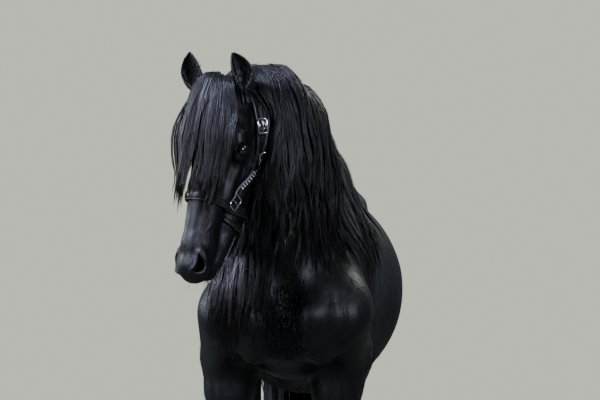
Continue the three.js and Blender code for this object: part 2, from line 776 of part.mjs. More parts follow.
function crownRibs() {
  const count = 17;
  return Array.from({ length: count }, (_, i) => {
    const angle = lerp(-0.3, Math.PI + 0.3, i / (count - 1));
    const down = Math.max(1 - Math.sin(angle), 0);
    const from = headPoint(0, lerp(55, 146, down), lerp(98, 156, down));
    const out = headLeft.clone().multiplyScalar(Math.cos(angle));
    out.addScaledVector(headDown, -Math.sin(angle));
    return { from, out: out.normalize() };
  });
}

function faceFrame(side, [t, b], lift, tilt) {
  const out = headLeft.clone().multiplyScalar(side);
  const at = surfaceAlong(harnessAndNeck, headPoint(side * 44, t, b), out, 300, lift);
  const normal = slope(harnessAndNeck, at);
  const up = headDown.clone().negate().addScaledVector(headBack, tilt);
  up.addScaledVector(normal, -up.dot(normal)).normalize();
  return { at, across: up.clone().cross(normal), up, out: normal };
}

// A square ring of bar, and a round one
function squareRing(side, place, [width, height, bar], lift, tilt, grow) {
  const { at, across, up, out } = faceFrame(side, place, lift, tilt);
  const matrix = placed(at, across, up, out);
  const box = (w, h, d) => fromGeometry(new THREE.BoxGeometry(w, h, d), matrix);
  const outer = box(width + 2 * grow, height + 2 * grow, bar + 2 * grow);
  return outer.subtract(box(width - 2 * (bar + grow), height - 2 * (bar + grow), 30));
}

function roundRing(side, place, grow) {
  const { at, across, up, out } = faceFrame(side, place, 6.5, 0);
  const ring = new THREE.TorusGeometry(15, 2.6 + grow, 5, 12);
  return fromGeometry(ring, placed(at, across, up, out));
}

// A row of cut stones along the middle of a strap's outer face
function stoneRow({ outer, ribs }, count, grow) {
  const line = new THREE.CurvePath();
  for (let i = 1; i < outer.length; i++) line.add(new THREE.LineCurve3(outer[i - 1], outer[i]));
  const stations = 2 * count + 1;
  const rowRings = Array.from({ length: stations }, (_, i) => {
    const t = lerp(0.18, 0.8, i / (stations - 1));
    const at = line.getPointAt(t);
    const along = line.getTangentAt(t);
    const out = ribs[0].out.clone().addScaledVector(along, -ribs[0].out.dot(along)).normalize();
    const across = along.clone().cross(out);
    const half = (i % 2 ? 3.6 : 2) + grow;
    const height = (i % 2 ? 4.4 : 2) + grow;
    return [
      [-half, 0.9 - grow],
      [half, 0.9 - grow],
      [half * 0.6, height],
      [-half * 0.6, height],
    ].map(([a, h]) => at.clone().addScaledVector(across, a).addScaledVector(out, h));
  });
  const middle = (ring) => {
    const sum = ring.reduce((a, b) => a.clone().add(b), vec(0, 0, 0));
    return sum.multiplyScalar(1 / ring.length);
  };
  return skinned(rowRings, middle(rowRings[0]), middle(rowRings[stations - 1]));
}

// Long hair. A lock leaves its root along a direction, is drawn down by its weight and lies on the flesh.
const CLING_TO = 0.8; // beyond this share of its length it hangs free
const allFlesh = (p) => Math.min(head(p), body(p));
function combed(field, root, start, length, { lift, pull, hold, cling }) {
  const steps = 13;
  const points = [root];
  const direction = start.clone().normalize();
  let last = root;
  for (let i = 1; i <= steps; i++) {
    const t = i / steps;
    const next = last.clone().addScaledVector(direction, length / steps);
    const short = lift(t) - field(next);
    if (short > 0) next.addScaledVector(slope(field, next), Math.min(short, 60));
    else if (t < CLING_TO) next.addScaledVector(slope(field, next), cling * Math.max(short, -50));
    direction.copy(next).sub(last).normalize().multiplyScalar(hold);
    direction.addScaledVector(pull(t), 1 - hold).normalize();
    points.push(next);
    last = next;
  }
  return new THREE.CatmullRomCurve3(points);
}

// A lock is flat, widest at its middle and pointed at its tip; its root is sunk in the flesh.
const CURLED_PROFILE = [
  [0, 0.66],
  [0.14, 0.9],
  [0.34, 1],
  [0.58, 0.96],
  [0.82, 0.62],
];
const STRAIGHT_PROFILE = [
  [0, 0.7],
  [0.22, 0.96],
  [0.52, 1],
  [0.8, 0.64],
];
function lock(field, curve, form, grow) {
  const { profile = STRAIGHT_PROFILE, width, thickness, wave, buried = 14, taper = 1 } = form;
  const phase = 6 * draw();
  const lockRings = profile.map(([t, share]) => {
    const at = curve.getPointAt(t);
    const along = curve.getTangentAt(t);
    const normal = slope(field, at, 8);
    const across = along.clone().cross(normal).normalize();
    const flat = across.clone().cross(along).normalize();
    if (t === 0) at.addScaledVector(normal, -buried);
    at.addScaledVector(across, wave * t * Math.sin(phase + 7 * t));
    const half = (width * share * lerp(taper, 1, clamp(4 * t, 0, 1))) / 2 + grow;
    const deep = thickness * (0.4 + 0.6 * share) * 0.5 + grow;
    return [
      at.clone().addScaledVector(across, half),
      at.clone().addScaledVector(flat, deep),
      at.clone().addScaledVector(across, -half),
      at.clone().addScaledVector(flat, -deep),
    ];
  });
  const root = curve.getPointAt(0);
  root.addScaledVector(slope(field, root, 8), -buried - 6);
  return skinned(lockRings, root, curve.getPointAt(1));
}

// The crest of the neck, from the withers at 0 to the poll at 1
function crest(t) {
  const station = alongNeck(t);
  const top = surfaceAlong(body, station.at, station.up, 400, 0);
  return { ...station, top };
}

function maneLocks(side, count, lengths, layers, grow) {
  const lengthLine = new THREE.CatmullRomCurve3(lengths.map((l) => vec(l, 0, 0)));
  const solids = [];
  for (let i = 0; i < count; i++) {
    const place = (i + 0.5 + spread(0.2)) / count;
    const layer = i % layers;
    const { top, across, up } = crest(lerp(0.04, 0.9, place));
    const outward = across.clone().multiplyScalar(side);
    const length = lengthLine.getPoint(place).x * (1 + spread(0.08));
    const height = 6 + 11 * layer;
    const root = top.clone().addScaledVector(outward, 4 + 4 * layer).addScaledVector(up, -2);
    const start = outward.clone().addScaledVector(UP, -0.12);
    const drift = spread(0.1);
    const curve = combed(allFlesh, root, start, length, {
      lift: (t) => lerp(9, height, clamp(5 * t, 0, 1)) + 6 * t,
      pull: () => vec(0, drift, -1),
      hold: 0.45,
      cling: 0.6,
    });
    const size = { profile: CURLED_PROFILE, width: 68 + spread(8), thickness: 9.5, wave: 6 };
    solids.push(lock(allFlesh, curve, size, grow));
  }
  return solids;
}

// The forelock fans from between the ears over the brow, then draws together again towards the noseband.
const FORELOCK_PATH = [
  { t: -14, share: 0.2, lift: 2 },
  { t: 8, share: 0.42, lift: 15 },
  { t: 62, share: 0.68, lift: 15 },
  { t: 125, share: 0.88, lift: 15 },
  { t: 195, share: 1, lift: 17 },
  { t: 265, share: 0.92, lift: 20 },
  { t: 352, share: 0.74, lift: 22 },
];
function forelockLocks(count, grow) {
  return Array.from({ length: count }, (_, i) => {
    const s = i / (count - 1);
    const reach = lerp(-110, 70, s);
    const layer = i % 2;
    const short = 0.95 + 0.05 * draw() - 0.06 * s;
    const points = FORELOCK_PATH.map(({ t, share, lift }, k) => {
      const p = headPoint(reach * share, t * (k > 2 ? short : 1), 34);
      const off = lift + 12.5 * layer * Math.min(k, 1) + (k > 2 ? 16 * Math.max(-reach - 70, 0) / 42 : 0);
      for (let n = 0; n < 4; n++) p.addScaledVector(slope(head, p), off - head(p));
      return p;
    });
    const curve = new THREE.CatmullRomCurve3(points);
    return lock(head, curve, { width: 37, thickness: 10, wave: 2, taper: 0.3 }, grow);
  });
}

// Tail: a fleshy dock, a core of hair to less than half way, and locks round both
const tailX = sway(1640);
const DOCK_END = vec(tailX, 1688, 1120);
const dock = flesh([
  muscle(vec(tailX, 1545, 1425), vec(tailX, 1622, 1408), [42, 40], [38, 36], 20),
  muscle(vec(tailX, 1622, 1408), vec(tailX, 1672, 1330), [38, 36], [34, 32], 20),
  muscle(vec(tailX, 1672, 1330), DOCK_END, [34, 32], [40, 36], 20),
  muscle(DOCK_END, vec(tailX, 1702, 840), [46, 40], [34, 28], 20),
]);
const dockLine = new THREE.CatmullRomCurve3([
  vec(tailX, 1552, 1425),
  vec(tailX, 1622, 1408),
  vec(tailX, 1674, 1325),
  DOCK_END,
  vec(tailX, 1702, 845),
]);

function tailCore() {
  const count = 12;
  const stations = Array.from({ length: count }, (_, i) => {
    const t = i / (count - 1);
    const along = dockLine.getTangentAt(t);
    return { at: dockLine.getPointAt(t), across: LEFT, up: along.clone().cross(LEFT).normalize() };
  });
  const ends = [
    [stations[0].at, dockLine.getTangentAt(0).negate()],
    [stations[count - 1].at, DOWN],
  ];
  return ringed(dock, stations, 12, 0, ends);
}

// A tail lock leaves the dock and hangs at its own place round the tail, in one of two layers.
const TAIL_TIP = 165; // height of the longest tips
function tailLocks(count, grow) {
  return Array.from({ length: count }, (_, i) => {
    const layer = i % 2;
    const angle = degToRad(lerp(-165, 165, i / (count - 1)) + spread(3));
    const front = Math.max(Math.abs(angle) - Math.PI / 2, 0);
    const start = lerp(layer ? 0.08 : 0.34, layer ? 0.3 : 0.6, draw()) + 0.25 * front;
    const tip = TAIL_TIP + 110 * draw() + 60 * layer;
    const steps = 9;
    const points = Array.from({ length: steps }, (_, k) => {
      const t = k / (steps - 1);
      const low = dockLine.getPointAt(start);
      const z = lerp(low.z, tip, t);
      const hung = vec(tailX, lerp(DOCK_END.y, DOCK_END.y + 20, (DOCK_END.z - z) / 900), z);
      const fall = (low.z - z) / (low.z - DOCK_END.z);
      const middle = z > DOCK_END.z ? low.clone().lerp(DOCK_END, fall) : hung;
      const round = 30 + 44 * bell(0.08 + 0.8 * t) + 21 * layer * Math.min(3 * t, 1);
      const swing = angle * (1 - 0.12 * t);
      return middle.add(vec(1.12 * round * Math.sin(swing), 0.86 * round * Math.cos(swing), 0));
    });
    const curve = new THREE.CatmullRomCurve3(points);
    return lock(dock, curve, { width: 60, thickness: 13, wave: 5 }, grow);
  });
}

// Feather: long hair round the back and sides of each fetlock, spreading over the hoof
function featherLocks(x, y, count, grow = 0) {
  return Array.from({ length: count }, (_, i) => {
    const angle = degToRad(lerp(-140, 140, i / (count - 1)) + spread(3));
    const out = BACK.clone().multiplyScalar(Math.cos(angle)).addScaledVector(LEFT, Math.sin(angle));
    const height = lerp(205, 325, (1 + Math.cos(angle)) / 2) + spread(14);
    const tip = 20 + 26 * draw();
    const root = surfaceAlong(body, vec(x, y, height), out, 200, 0);
    const near = root.clone().sub(vec(x, y, height)).length();
    const far = lerp(88, 76, (1 - Math.cos(angle)) / 2) + 9 * (i % 2);
    const points = [0, 0.12, 0.3, 0.55, 0.8, 1].map((t) => {
      const middle = vec(x, y - 34 * t, lerp(height, tip, t));
      return middle.addScaledVector(out, lerp(near + 5 * Math.min(8 * t, 1), far, t ** 1.2));
    });
    const curve = new THREE.CatmullRomCurve3(points);
    return lock(body, curve, { width: 52, thickness: 12, wave: 4, buried: 10 }, grow);
  });
}

const horse = new THREE.Group();

const finish = (color, roughness, metalness = 0) =>
  new THREE.MeshStandardMaterial({ color, roughness, metalness });
const coat = finish(0x14141a, 0.5);
const horn = finish(0x1d1b1a, 0.55);
const eyeball = finish(0x120c09, 0.05);
const leather = finish(0x17161a, 0.45);
const silver = finish(0xd8dade, 0.2, 1);
const glass = finish(0xeef2f6, 0.05);

function addNode(name, solid, material) {
  const mesh = new THREE.Mesh(toGeometry(solid), material);
  mesh.name = name;
  horse.add(mesh);
}

const SIDES = [
  ["left", 1],
  ["right", -1],
];

// Halter
const metal = {};
const straps = {
  halter_noseband: (grow) => band(harness, noseRibs(), 25, 4.6, true, grow),
  halter_chin_strap: (grow) => band(harness, chinRibs(), 20, 4, false, grow),
  halter_crown_strap: (grow) => band(harnessAndNeck, crownRibs(), 24, 4.6, false, grow),
};
const stones = {};
for (const [word, side] of SIDES) {
  const path = [places.cheek, [262, 160], [312, 134], places.nose];
  const cheekStrap = (grow) => band(harness, sideRibs(side, path), 22, 4.6, false, grow);
  straps["halter_cheek_strap_" + word] = cheekStrap;
  stones["halter_stones_" + word] = (grow) => stoneRow(cheekStrap(0), 10, grow);
  metal["halter_nose_ring_" + word] = (grow) => squareRing(side, places.nose, [36, 44, 5], 7, 0.5, grow);
  metal["halter_cheek_ring_" + word] = (grow) => roundRing(side, places.cheek, grow);
  metal["halter_buckle_" + word] = (grow) =>
    squareRing(side, places.buckle, [30, 42, 3.6], 11, -0.35, grow);
}
const metalGrown = union(Object.values(metal).map((piece) => piece(GAP)));
const strapGrown = union(Object.values(straps).map((strap) => strap(GAP).solid));
const cheekStrapsGrown = union(SIDES.map(([word]) => straps["halter_cheek_strap_" + word](GAP).solid));
const stonesGrown = union(Object.values(stones).map((row) => row(GAP)));
const halterGrown = union([metalGrown, strapGrown, stonesGrown]);

// Head, with its forelock
let headSolid = union([headSkin(0), ...SIDES.map(([, side]) => lids(side))]);
for (const [, side] of SIDES) headSolid = headSolid.subtract(lidOpening(side)).subtract(nostril(side));
headSolid = headSolid.subtract(mouth());
const earsGrown = union(SIDES.map(([, side]) => earShell(side, -GAP, 0, -0.18)));
const headSeed = seed;
const forelock = union(forelockLocks(9, 0)).subtract(earsGrown).subtract(halterGrown);
seed = headSeed;
const forelockGrown = union(forelockLocks(9, GAP));
const eyesGrown = union(SIDES.map(([, side]) => eyeSolid(side, GAP)));
headSolid = union([headSolid, forelock]).subtract(union([eyesGrown, halterGrown]));

// Neck, with its mane on both sides
const mane = union([
  ...maneLocks(1, 16, [470, 640, 640, 520], 3, 0),
  ...maneLocks(-1, 10, [560, 760, 640, 420], 2, 0),
]);
const taken = union([torsoOutside, headOutside, forelockGrown, earsGrown, halterGrown]);
const neckFlesh = neckSkin().subtract(headOutside).subtract(halterGrown);
// A lock that curls over itself is solid twice in places, so it is cut twice.
const neckSolid = union([neckFlesh, mane.subtract(taken).subtract(taken)]);

// Tail
const tailSolid = union([tailCore(), ...tailLocks(15, 0)]).subtract(torsoOutside);

addNode("torso", torsoSolid, coat);
addNode("neck", neckSolid, coat);
addNode("head", headSolid, coat);
addNode("tail", tailSolid, coat);
for (const [word, side] of SIDES) {
  for (const [pair, joints, track, region, hoofY, legName] of [
    ["fore", foreJoints, FORE_TRACK[word], LEG_REGIONS[0], FORE_COLUMN - 52, "foreleg_"],
    ["hind", hindJoints, HIND_TRACK[word], LEG_REGIONS[1], HIND_COLUMN - 56, "hind_leg_"],
  ]) {
    const x = side * track + sway(hoofY);
    const hoofGrown = hoofSolid(x, hoofY, GAP);
    const feather = union(featherLocks(x, hoofY + 44, 6)).subtract(hoofGrown);
    const leg = legSolid(side, joints(side, track), region, hoofY);
    addNode(legName + word, union([leg, feather]), coat);
    addNode(pair + "_hoof_" + word, hoofSolid(x, hoofY), horn);
  }
  addNode("ear_" + word, earSolid(side), coat);
  addNode("eye_" + word, eyeSolid(side, 0), eyeball);
}
for (const [name, piece] of Object.entries(metal)) addNode(name, piece(0), silver);
for (const [name, strap] of Object.entries(straps)) {
  let solid = strap(0).solid.subtract(metalGrown);
  if (name === "halter_crown_strap") solid = solid.subtract(cheekStrapsGrown);
  addNode(name, solid, leather);
}
for (const [name, row] of Object.entries(stones)) addNode(name, row(0), glass);

// The origin is on the floor, under the middle of the horse's box
const bounds = new THREE.Box3().setFromObject(horse, true);
const centre = bounds.getCenter(vec(0, 0, 0));
horse.position.set(-centre.x, -centre.y, -bounds.min.z);

export default horse;
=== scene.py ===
# %% [markdown]
# A Friesian horse, life size
#
# This lesson dresses a solid model of a black Friesian horse. The solids give every outline and every
# length. Here one fine skin takes the place of the coarse flesh, and the long hair, the eyes, the hooves
# and the halter are made at the size of the real ones.

# %% Load the solid model
import json
import math

import bpy
import numpy as np
from mathutils import Matrix, Vector

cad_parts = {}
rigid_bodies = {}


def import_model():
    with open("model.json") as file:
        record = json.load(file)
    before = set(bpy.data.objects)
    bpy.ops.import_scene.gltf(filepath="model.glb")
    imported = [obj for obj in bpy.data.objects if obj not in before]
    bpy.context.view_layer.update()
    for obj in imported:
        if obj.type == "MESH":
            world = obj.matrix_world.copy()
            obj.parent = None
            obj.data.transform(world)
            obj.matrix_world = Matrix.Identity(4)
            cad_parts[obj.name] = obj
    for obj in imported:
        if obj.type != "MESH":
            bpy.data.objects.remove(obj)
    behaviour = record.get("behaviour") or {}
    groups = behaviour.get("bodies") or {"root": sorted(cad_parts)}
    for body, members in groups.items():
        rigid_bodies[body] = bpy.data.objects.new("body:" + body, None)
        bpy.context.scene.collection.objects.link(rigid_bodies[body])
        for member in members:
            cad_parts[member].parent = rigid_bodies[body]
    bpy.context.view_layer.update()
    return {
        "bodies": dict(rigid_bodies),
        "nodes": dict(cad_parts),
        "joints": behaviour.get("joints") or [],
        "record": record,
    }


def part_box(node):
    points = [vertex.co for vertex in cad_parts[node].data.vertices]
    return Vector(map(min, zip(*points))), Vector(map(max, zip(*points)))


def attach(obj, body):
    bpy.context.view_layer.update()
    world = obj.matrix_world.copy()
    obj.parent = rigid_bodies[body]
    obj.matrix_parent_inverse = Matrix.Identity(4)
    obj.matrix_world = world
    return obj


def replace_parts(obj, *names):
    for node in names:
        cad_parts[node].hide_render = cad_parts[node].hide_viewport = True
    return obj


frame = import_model()
nodes = frame["nodes"]
print("solids loaded:", len(nodes))

# %% [markdown]
# Lengths are written in millimetres, as a saddler or a vet would give them, in the horse's own plan: x to
# its left, y from the point of the shoulder to the tail, z up from the ground. The finished model stands
# with the middle of its box over the origin, so one shift carries a point from the plan to the model. The
# toe of the left fore hoof is a point that is known in both.

# %% From the horse's plan to the model
MM = 0.001
SIDES = (("left", 1), ("right", -1))
HOOF_MIDDLE = 126.0
HOOF_TOE = 156.0
hoof_low, hoof_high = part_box("fore_hoof_left")
SHIFT = np.array([
    (hoof_low[0] + hoof_high[0]) / 2 / MM - HOOF_MIDDLE,
    hoof_low[1] / MM - HOOF_TOE,
    0.0,
])


def to_model(points):
    """Millimetres in the horse's plan to metres in the model."""
    return (np.asarray(points, float) + SHIFT) * MM


def to_plan(points):
    return np.asarray(points, float) / MM - SHIFT


def unit(v):
    v = np.asarray(v, float)
    return v / np.maximum(np.linalg.norm(v, axis=-1, keepdims=True), 1e-9)


def lerp(a, b, t):
    return a + (b - a) * t


def smooth(x, low, high):
    t = np.clip((np.asarray(x, float) - low) / (high - low), 0, 1)
    return t * t * (3 - 2 * t)


def bell(t):
    return np.sin(np.pi * np.clip(t, 0, 1))


rng = np.random.default_rng(11)
print("shift in mm:", SHIFT.round(2))

# %% [markdown]
# Materials come from one small helper that adds a node, sets it up and links it. Colours are written as the
# hex values that a screen shows, and one function turns them to the linear values that light is summed in.

# %% Helpers for materials
def hex_colour(code, alpha=1.0):
    values = [int(code[i : i + 2], 16) / 255 for i in (1, 3, 5)]
    linear = [v / 12.92 if v <= 0.04045 else ((v + 0.055) / 1.055) ** 2.4 for v in values]
    return (*linear, alpha)


def add_node(tree, kind, settings=(), links=()):
    """Adds a node. A setting is an attribute, a socket's value or the stops of a ramp."""
    node = tree.nodes.new(kind)
    for key, value in dict(settings).items():
        if key == "stops":
            elements = node.color_ramp.elements
            while len(elements) < len(value):
                elements.new(0.5)
            for element, (place, colour) in zip(elements, value):
                element.position = place
                element.color = hex_colour(colour) if isinstance(colour, str) else (colour,) * 3 + (1,)
        elif hasattr(node, str(key)):
            setattr(node, key, value)
        else:
            node.inputs[key].default_value = value
    for key, source in dict(links).items():
        tree.links.new(source, node.inputs[key])
    return node


def new_material(name, sockets=()):
    """A material, its tree and its shader, with the values that are the same all over set on the sockets."""
    material = bpy.data.materials.new(name)
    material.use_nodes = True
    tree = material.node_tree
    shader = tree.nodes["Principled BSDF"]
    for key, value in dict(sockets).items():
        shader.inputs[key].default_value = value
    return material, tree, shader


def wire(tree, shader, sources):
    """Links each source to the socket of that name."""
    for key, source in sources.items():
        tree.links.new(source, shader.inputs[key])

# %% [markdown]
# The stage. A long lens from nine metres away flattens the horse as in a portrait, and looks level at the
# height of its throat. Soft, large lights suit a black coat: what the eye reads on black hair is not the
# hair but the long reflections that lie across it.

# %% Camera
CAMERA_PLACE = (513.0, -8985.5, 1460.0)
CAMERA_TURN = math.radians(3)
CAMERA_LENS = 180.0

bpy.ops.object.select_all(action="DESELECT")
bpy.ops.object.camera_add(location=to_model(CAMERA_PLACE), rotation=(math.pi / 2, 0, CAMERA_TURN))
camera = bpy.context.object
camera.data.lens = CAMERA_LENS
camera.data.sensor_width = 36.0
camera.data.clip_end = 60.0
bpy.context.scene.camera = camera

# %% Lights
def area_light(name, place, target, size, power, hue=(1.0, 1.0, 1.0)):
    bpy.ops.object.light_add(type="AREA", location=place)
    lamp = bpy.context.object
    lamp.name = name
    lamp.data.shape = "RECTANGLE"
    lamp.data.size, lamp.data.size_y = size
    lamp.data.energy = power
    lamp.data.color = hue
    aim = Vector(target) - Vector(place)
    lamp.rotation_euler = aim.to_track_quat("-Z", "Y").to_euler()
    return lamp


THROAT = (0.0, -0.6, 1.4)
area_light("sky_panel", (-3.0, -3.0, 5.4), THROAT, (1.3, 1.3), 880, (0.67, 0.71, 1.0))
area_light("face_panel", (-4.4, -4.8, 2.8), THROAT, (1.2, 1.2), 170, (0.84, 0.88, 1.0))
area_light("fill_panel", (3.8, -5.6, 3.0), THROAT, (1.2, 1.2), 270, (0.78, 0.82, 1.0))
area_light("rim_panel", (3.0, 2.4, 4.6), (0.0, 0.2, 1.5), (2.6, 1.4), 130, (0.94, 1.0, 0.92))
area_light("flank_panel", (-4.6, 0.6, 2.8), (0.0, 0.0, 1.2), (2.0, 1.4), 130, (0.86, 0.90, 1.0))

# %% Room
# The camera sees a pale room. The coat sees a dimmer one, so that its black stays deep.
world = bpy.data.worlds.new("soft_room")
world.use_nodes = True
tree = world.node_tree
seen = tree.nodes["Background"]
seen.inputs["Color"].default_value = hex_colour("#D8DECB")
seen.inputs["Strength"].default_value = 1.0
felt = add_node(tree, "ShaderNodeBackground", {"Color": hex_colour("#BCC6DC"), "Strength": 0.26})
ray = add_node(tree, "ShaderNodeLightPath")
both = add_node(tree, "ShaderNodeMixShader", {},
                {0: ray.outputs["Is Camera Ray"], 1: felt.outputs[0], 2: seen.outputs[0]})
tree.links.new(both.outputs[0], tree.nodes["World Output"].inputs["Surface"])
bpy.context.scene.world = world

# %% Floor
# The paper is pale to the camera and dimmer to the coat, as the room is.
PALE_PAPER = ("#A9ADA2", "#B6BAAF")
DIM_PAPER = ("#4C5046", "#565B50")
FLOOR_SIZE = 22  # metres
bpy.ops.object.select_all(action="DESELECT")
bpy.ops.mesh.primitive_plane_add(size=FLOOR_SIZE, location=(0, 0, 0))
floor = bpy.context.object
floor.name = "studio_floor"
paper, tree, shader = new_material("pale_studio_paper", {"Roughness": 0.9})
place = add_node(tree, "ShaderNodeTexCoord").outputs["Object"]
mottle = add_node(tree, "ShaderNodeTexNoise", {"Scale": 3.0, "Detail": 4.0}, {"Vector": place})
tones = [
    add_node(tree, "ShaderNodeValToRGB", {"stops": [(0.3, low), (0.7, high)]}, {"Fac": mottle.outputs["Fac"]})
    for low, high in (DIM_PAPER, PALE_PAPER)
]
ray = add_node(tree, "ShaderNodeLightPath").outputs["Is Camera Ray"]
tint = add_node(tree, "ShaderNodeMix", {"data_type": "RGBA"},
                {0: ray, 6: tones[0].outputs["Color"], 7: tones[1].outputs["Color"]})
wire(tree, shader, {"Base Color": tint.outputs[2]})
floor.data.materials.append(paper)

# %% [markdown]
# Bones and muscles. A sculptor builds an animal from the inside: rods for the bones, egg shapes for the
# muscles, and clay over all of them. Here each bone or muscle is a rod with an oval section, thick at one
# end and thin at the other, and one formula melts them together. The formula says how far any point in
# space is from the skin, so skin and hair can both be laid on the same flesh.

# %% A rod of flesh
LEFT = np.array([1.0, 0.0, 0.0])
BACK = np.array([0.0, 1.0, 0.0])
UP = np.array([0.0, 0.0, 1.0])
REACH = 130.0  # a rod is felt this far from its surface


class Rod:
    def __init__(self, start, end, size_a, size_b, blend, left=LEFT):
        self.start, self.end = np.array(start, float), np.array(end, float)
        axis = self.end - self.start
        self.length = max(np.linalg.norm(axis), 1e-3)
        self.along = axis / self.length
        across = np.array(left) - np.dot(left, self.along) * self.along
        self.across = across / np.linalg.norm(across)
        self.deep = np.cross(self.along, self.across)
        self.size_a, self.size_b, self.blend = size_a, size_b, blend
        self.middle = (self.start + self.end) / 2
        self.reach = self.length / 2 + max(*size_a, *size_b)

    def distance(self, points):
        rel = points - self.start
        run = rel @ self.along
        t = np.clip(run / self.length, 0, 1)
        width = lerp(self.size_a[0], self.size_b[0], t)
        depth = lerp(self.size_a[1], self.size_b[1], t)
        end = np.minimum(width, depth)
        a = rel @ self.across / width
        b = rel @ self.deep / depth
        c = (run - t * self.length) / end
        near = np.sqrt(a * a + b * b + c * c)
        steep = np.sqrt((a / width) ** 2 + (b / depth) ** 2 + (c / end) ** 2)
        return np.where(near < 1e-6, -end, near * (near - 1) / np.maximum(steep, 1e-9))


def flesh(rods, points):
    """Distance of each point from the skin over all the rods, negative inside."""
    found = np.full(len(points), 1e9)
    for rod in rods:
        near = np.linalg.norm(points - rod.middle, axis=1) < rod.reach + REACH
        if not near.any():
            continue
        d = rod.distance(points[near])
        old = found[near]
        mix = np.maximum(rod.blend - np.abs(old - d), 0) / rod.blend
        found[near] = np.minimum(old, d) - mix * mix * rod.blend / 4
    return found

# %% [markdown]
# The trunk and the legs. Heights and widths are those of the solids: 1.63 m at the withers, a deep girth
# and a short strong back. The spine swings a little to the left at the barrel and to the right at the
# croup, because the horse does not stand quite straight to the camera.

# %% Trunk, forehand and haunch
FORE_COLUMN, HIND_COLUMN = 300.0, 1500.0
FORE_TRACK = {1: 126.0, -1: 190.0}
HIND_TRACK = {1: 146.0, -1: 146.0}


def sway(y):
    y = np.asarray(y, float)
    return 26 * bell((y - 250) / 1050) - 56 * smooth(y, 900, 1450)


trunk_rods = [
    Rod((0, 150, 1185), (0, 420, 1192), (180, 235), (240, 287), 60),
    Rod((0, 420, 1192), (0, 820, 1168), (240, 287), (297, 318), 60),
    Rod((0, 820, 1168), (0, 1130, 1240), (297, 318), (262, 288), 60),
    Rod((0, 1130, 1285), (0, 1400, 1345), (235, 262), (196, 222), 60),
    Rod((0, 360, 1555), (0, 640, 1535), (52, 70), (70, 60), 90),
    Rod((0, 620, 1473), (0, 1100, 1510), (130, 70), (140, 75), 60),
    Rod((0, 1180, 1508), (0, 1560, 1395), (95, 85), (80, 80), 80),
    Rod((0, 230, 990), (0, 460, 985), (85, 80), (110, 78), 60),
]


def places(side, bent=False):
    """Three ways to name a point of one side: from the middle of the horse, the fore leg and the hind leg."""

    def at(x, y, z):
        return (side * x + (float(sway(y)) if bent else 0.0), y, z)

    def fore(x, y, z):
        return at(FORE_TRACK[side] + x, FORE_COLUMN + y, z)

    def hind(x, y, z):
        return at(HIND_TRACK[side] + x, HIND_COLUMN + y, z)

    return at, fore, hind


def side_rods(side):
    at, fore, hind = places(side)
    fore_track = FORE_TRACK[side]
    shoulder_x, elbow_x = 132 + 0.3 * fore_track, 50 + 0.79 * fore_track
    rows = [
        # Shoulder blade, point of the shoulder, upper arm, the muscle behind it and the breast
        (at(70, 440, 1510), at(172, 110, 1150), (62, 130), (80, 110), 60),
        (at(shoulder_x, 62, 1115), at(elbow_x, 310, 975), (86, 92), (82, 92), 50),
        (at(150, 400, 1290), at(44 + 0.77 * fore_track, 350, 1000), (80, 125), (78, 100), 55),
        (at(92, 52, 1140), at(98, 170, 1055), (92, 100), (80, 84), 40),
        (at(70, -12, 1105), at(104, 66, 990), (52, 40), (32, 28), 60),
        # Croup, thigh, hamstrings and stifle
        (at(96, 1235, 1415), at(128, 1500, 1322), (122, 150), (114, 140), 70),
        (at(150, 1270, 1290), at(166, 1270, 1060), (106, 186), (90, 168), 70),
        (at(112, 1550, 1335), at(138, 1470, 1010), (90, 96), (78, 92), 60),
        (at(138, 1466, 1000), hind(14, -112, 820), (70, 84), (42, 52), 50),
        (at(172, 1158, 1060), at(182, 1160, 985), (74, 74), (64, 70), 50),
        # Forearm, knee with the bone behind it, cannon, fetlock and pastern
        (at((fore_track + 190) / 2, 325, 990), fore(8, 20, 870), (84, 110), (76, 94), 45),
        (fore(8, 20, 870), fore(4, 6, 725), (76, 94), (54, 64), 30),
        (fore(4, 6, 725), fore(2, -4, 600), (54, 64), (43, 48), 25),
        (fore(1, -10, 555), fore(0, -8, 500), (50, 46), (49, 44), 30),
        (fore(0, 8, 540), fore(0, 14, 505), (30, 40), (26, 34), 25),
        (fore(0, 0, 500), fore(0, 2, 360), (37, 42), (31, 39), 20),
        (fore(0, 2, 360), fore(0, 2, 225), (31, 39), (35, 43), 20),
        (fore(0, 0, 215), fore(0, -2, 190), (42, 46), (41, 46), 20),
        (fore(0, -8, 180), fore(0, -42, 110), (36, 37), (40, 42), 20),
        (fore(0, -48, 100), fore(0, -58, 60), (53, 55), (60, 63), 16),
        # Gaskin, hock with its tendon, hind cannon, fetlock and pastern
        (at(178, 1290, 1010), hind(38, -215, 930), (86, 158), (76, 140), 45),
        (hind(38, -215, 930), hind(20, -108, 760), (76, 128), (52, 76), 35),
        (hind(20, -108, 760), hind(4, -22, 655), (52, 72), (43, 54), 25),
        (hind(6, -60, 860), hind(2, 46, 668), (20, 26), (20, 22), 30),
        (hind(2, 40, 668), hind(0, 36, 610), (27, 30), (30, 30), 20),
        (hind(3, -16, 650), hind(0, -6, 560), (48, 56), (42, 50), 25),
        (hind(0, -2, 560), hind(0, 0, 400), (40, 48), (33, 41), 20),
        (hind(0, 0, 400), hind(0, -2, 235), (33, 41), (36, 45), 20),
        (hind(0, -4, 225), hind(0, -8, 198), (43, 48), (42, 48), 20),
        (hind(0, -14, 188), hind(0, -46, 112), (37, 38), (41, 43), 20),
        (hind(0, -52, 102), hind(0, -62, 60), (53, 55), (60, 63), 16),
    ]
    return [Rod(*row) for row in rows]

# %% [markdown]
# The neck is carried high and arched, and turns with the head to the horse's right. Each station along it
# has its middle, half width, half depth and how far it has turned.

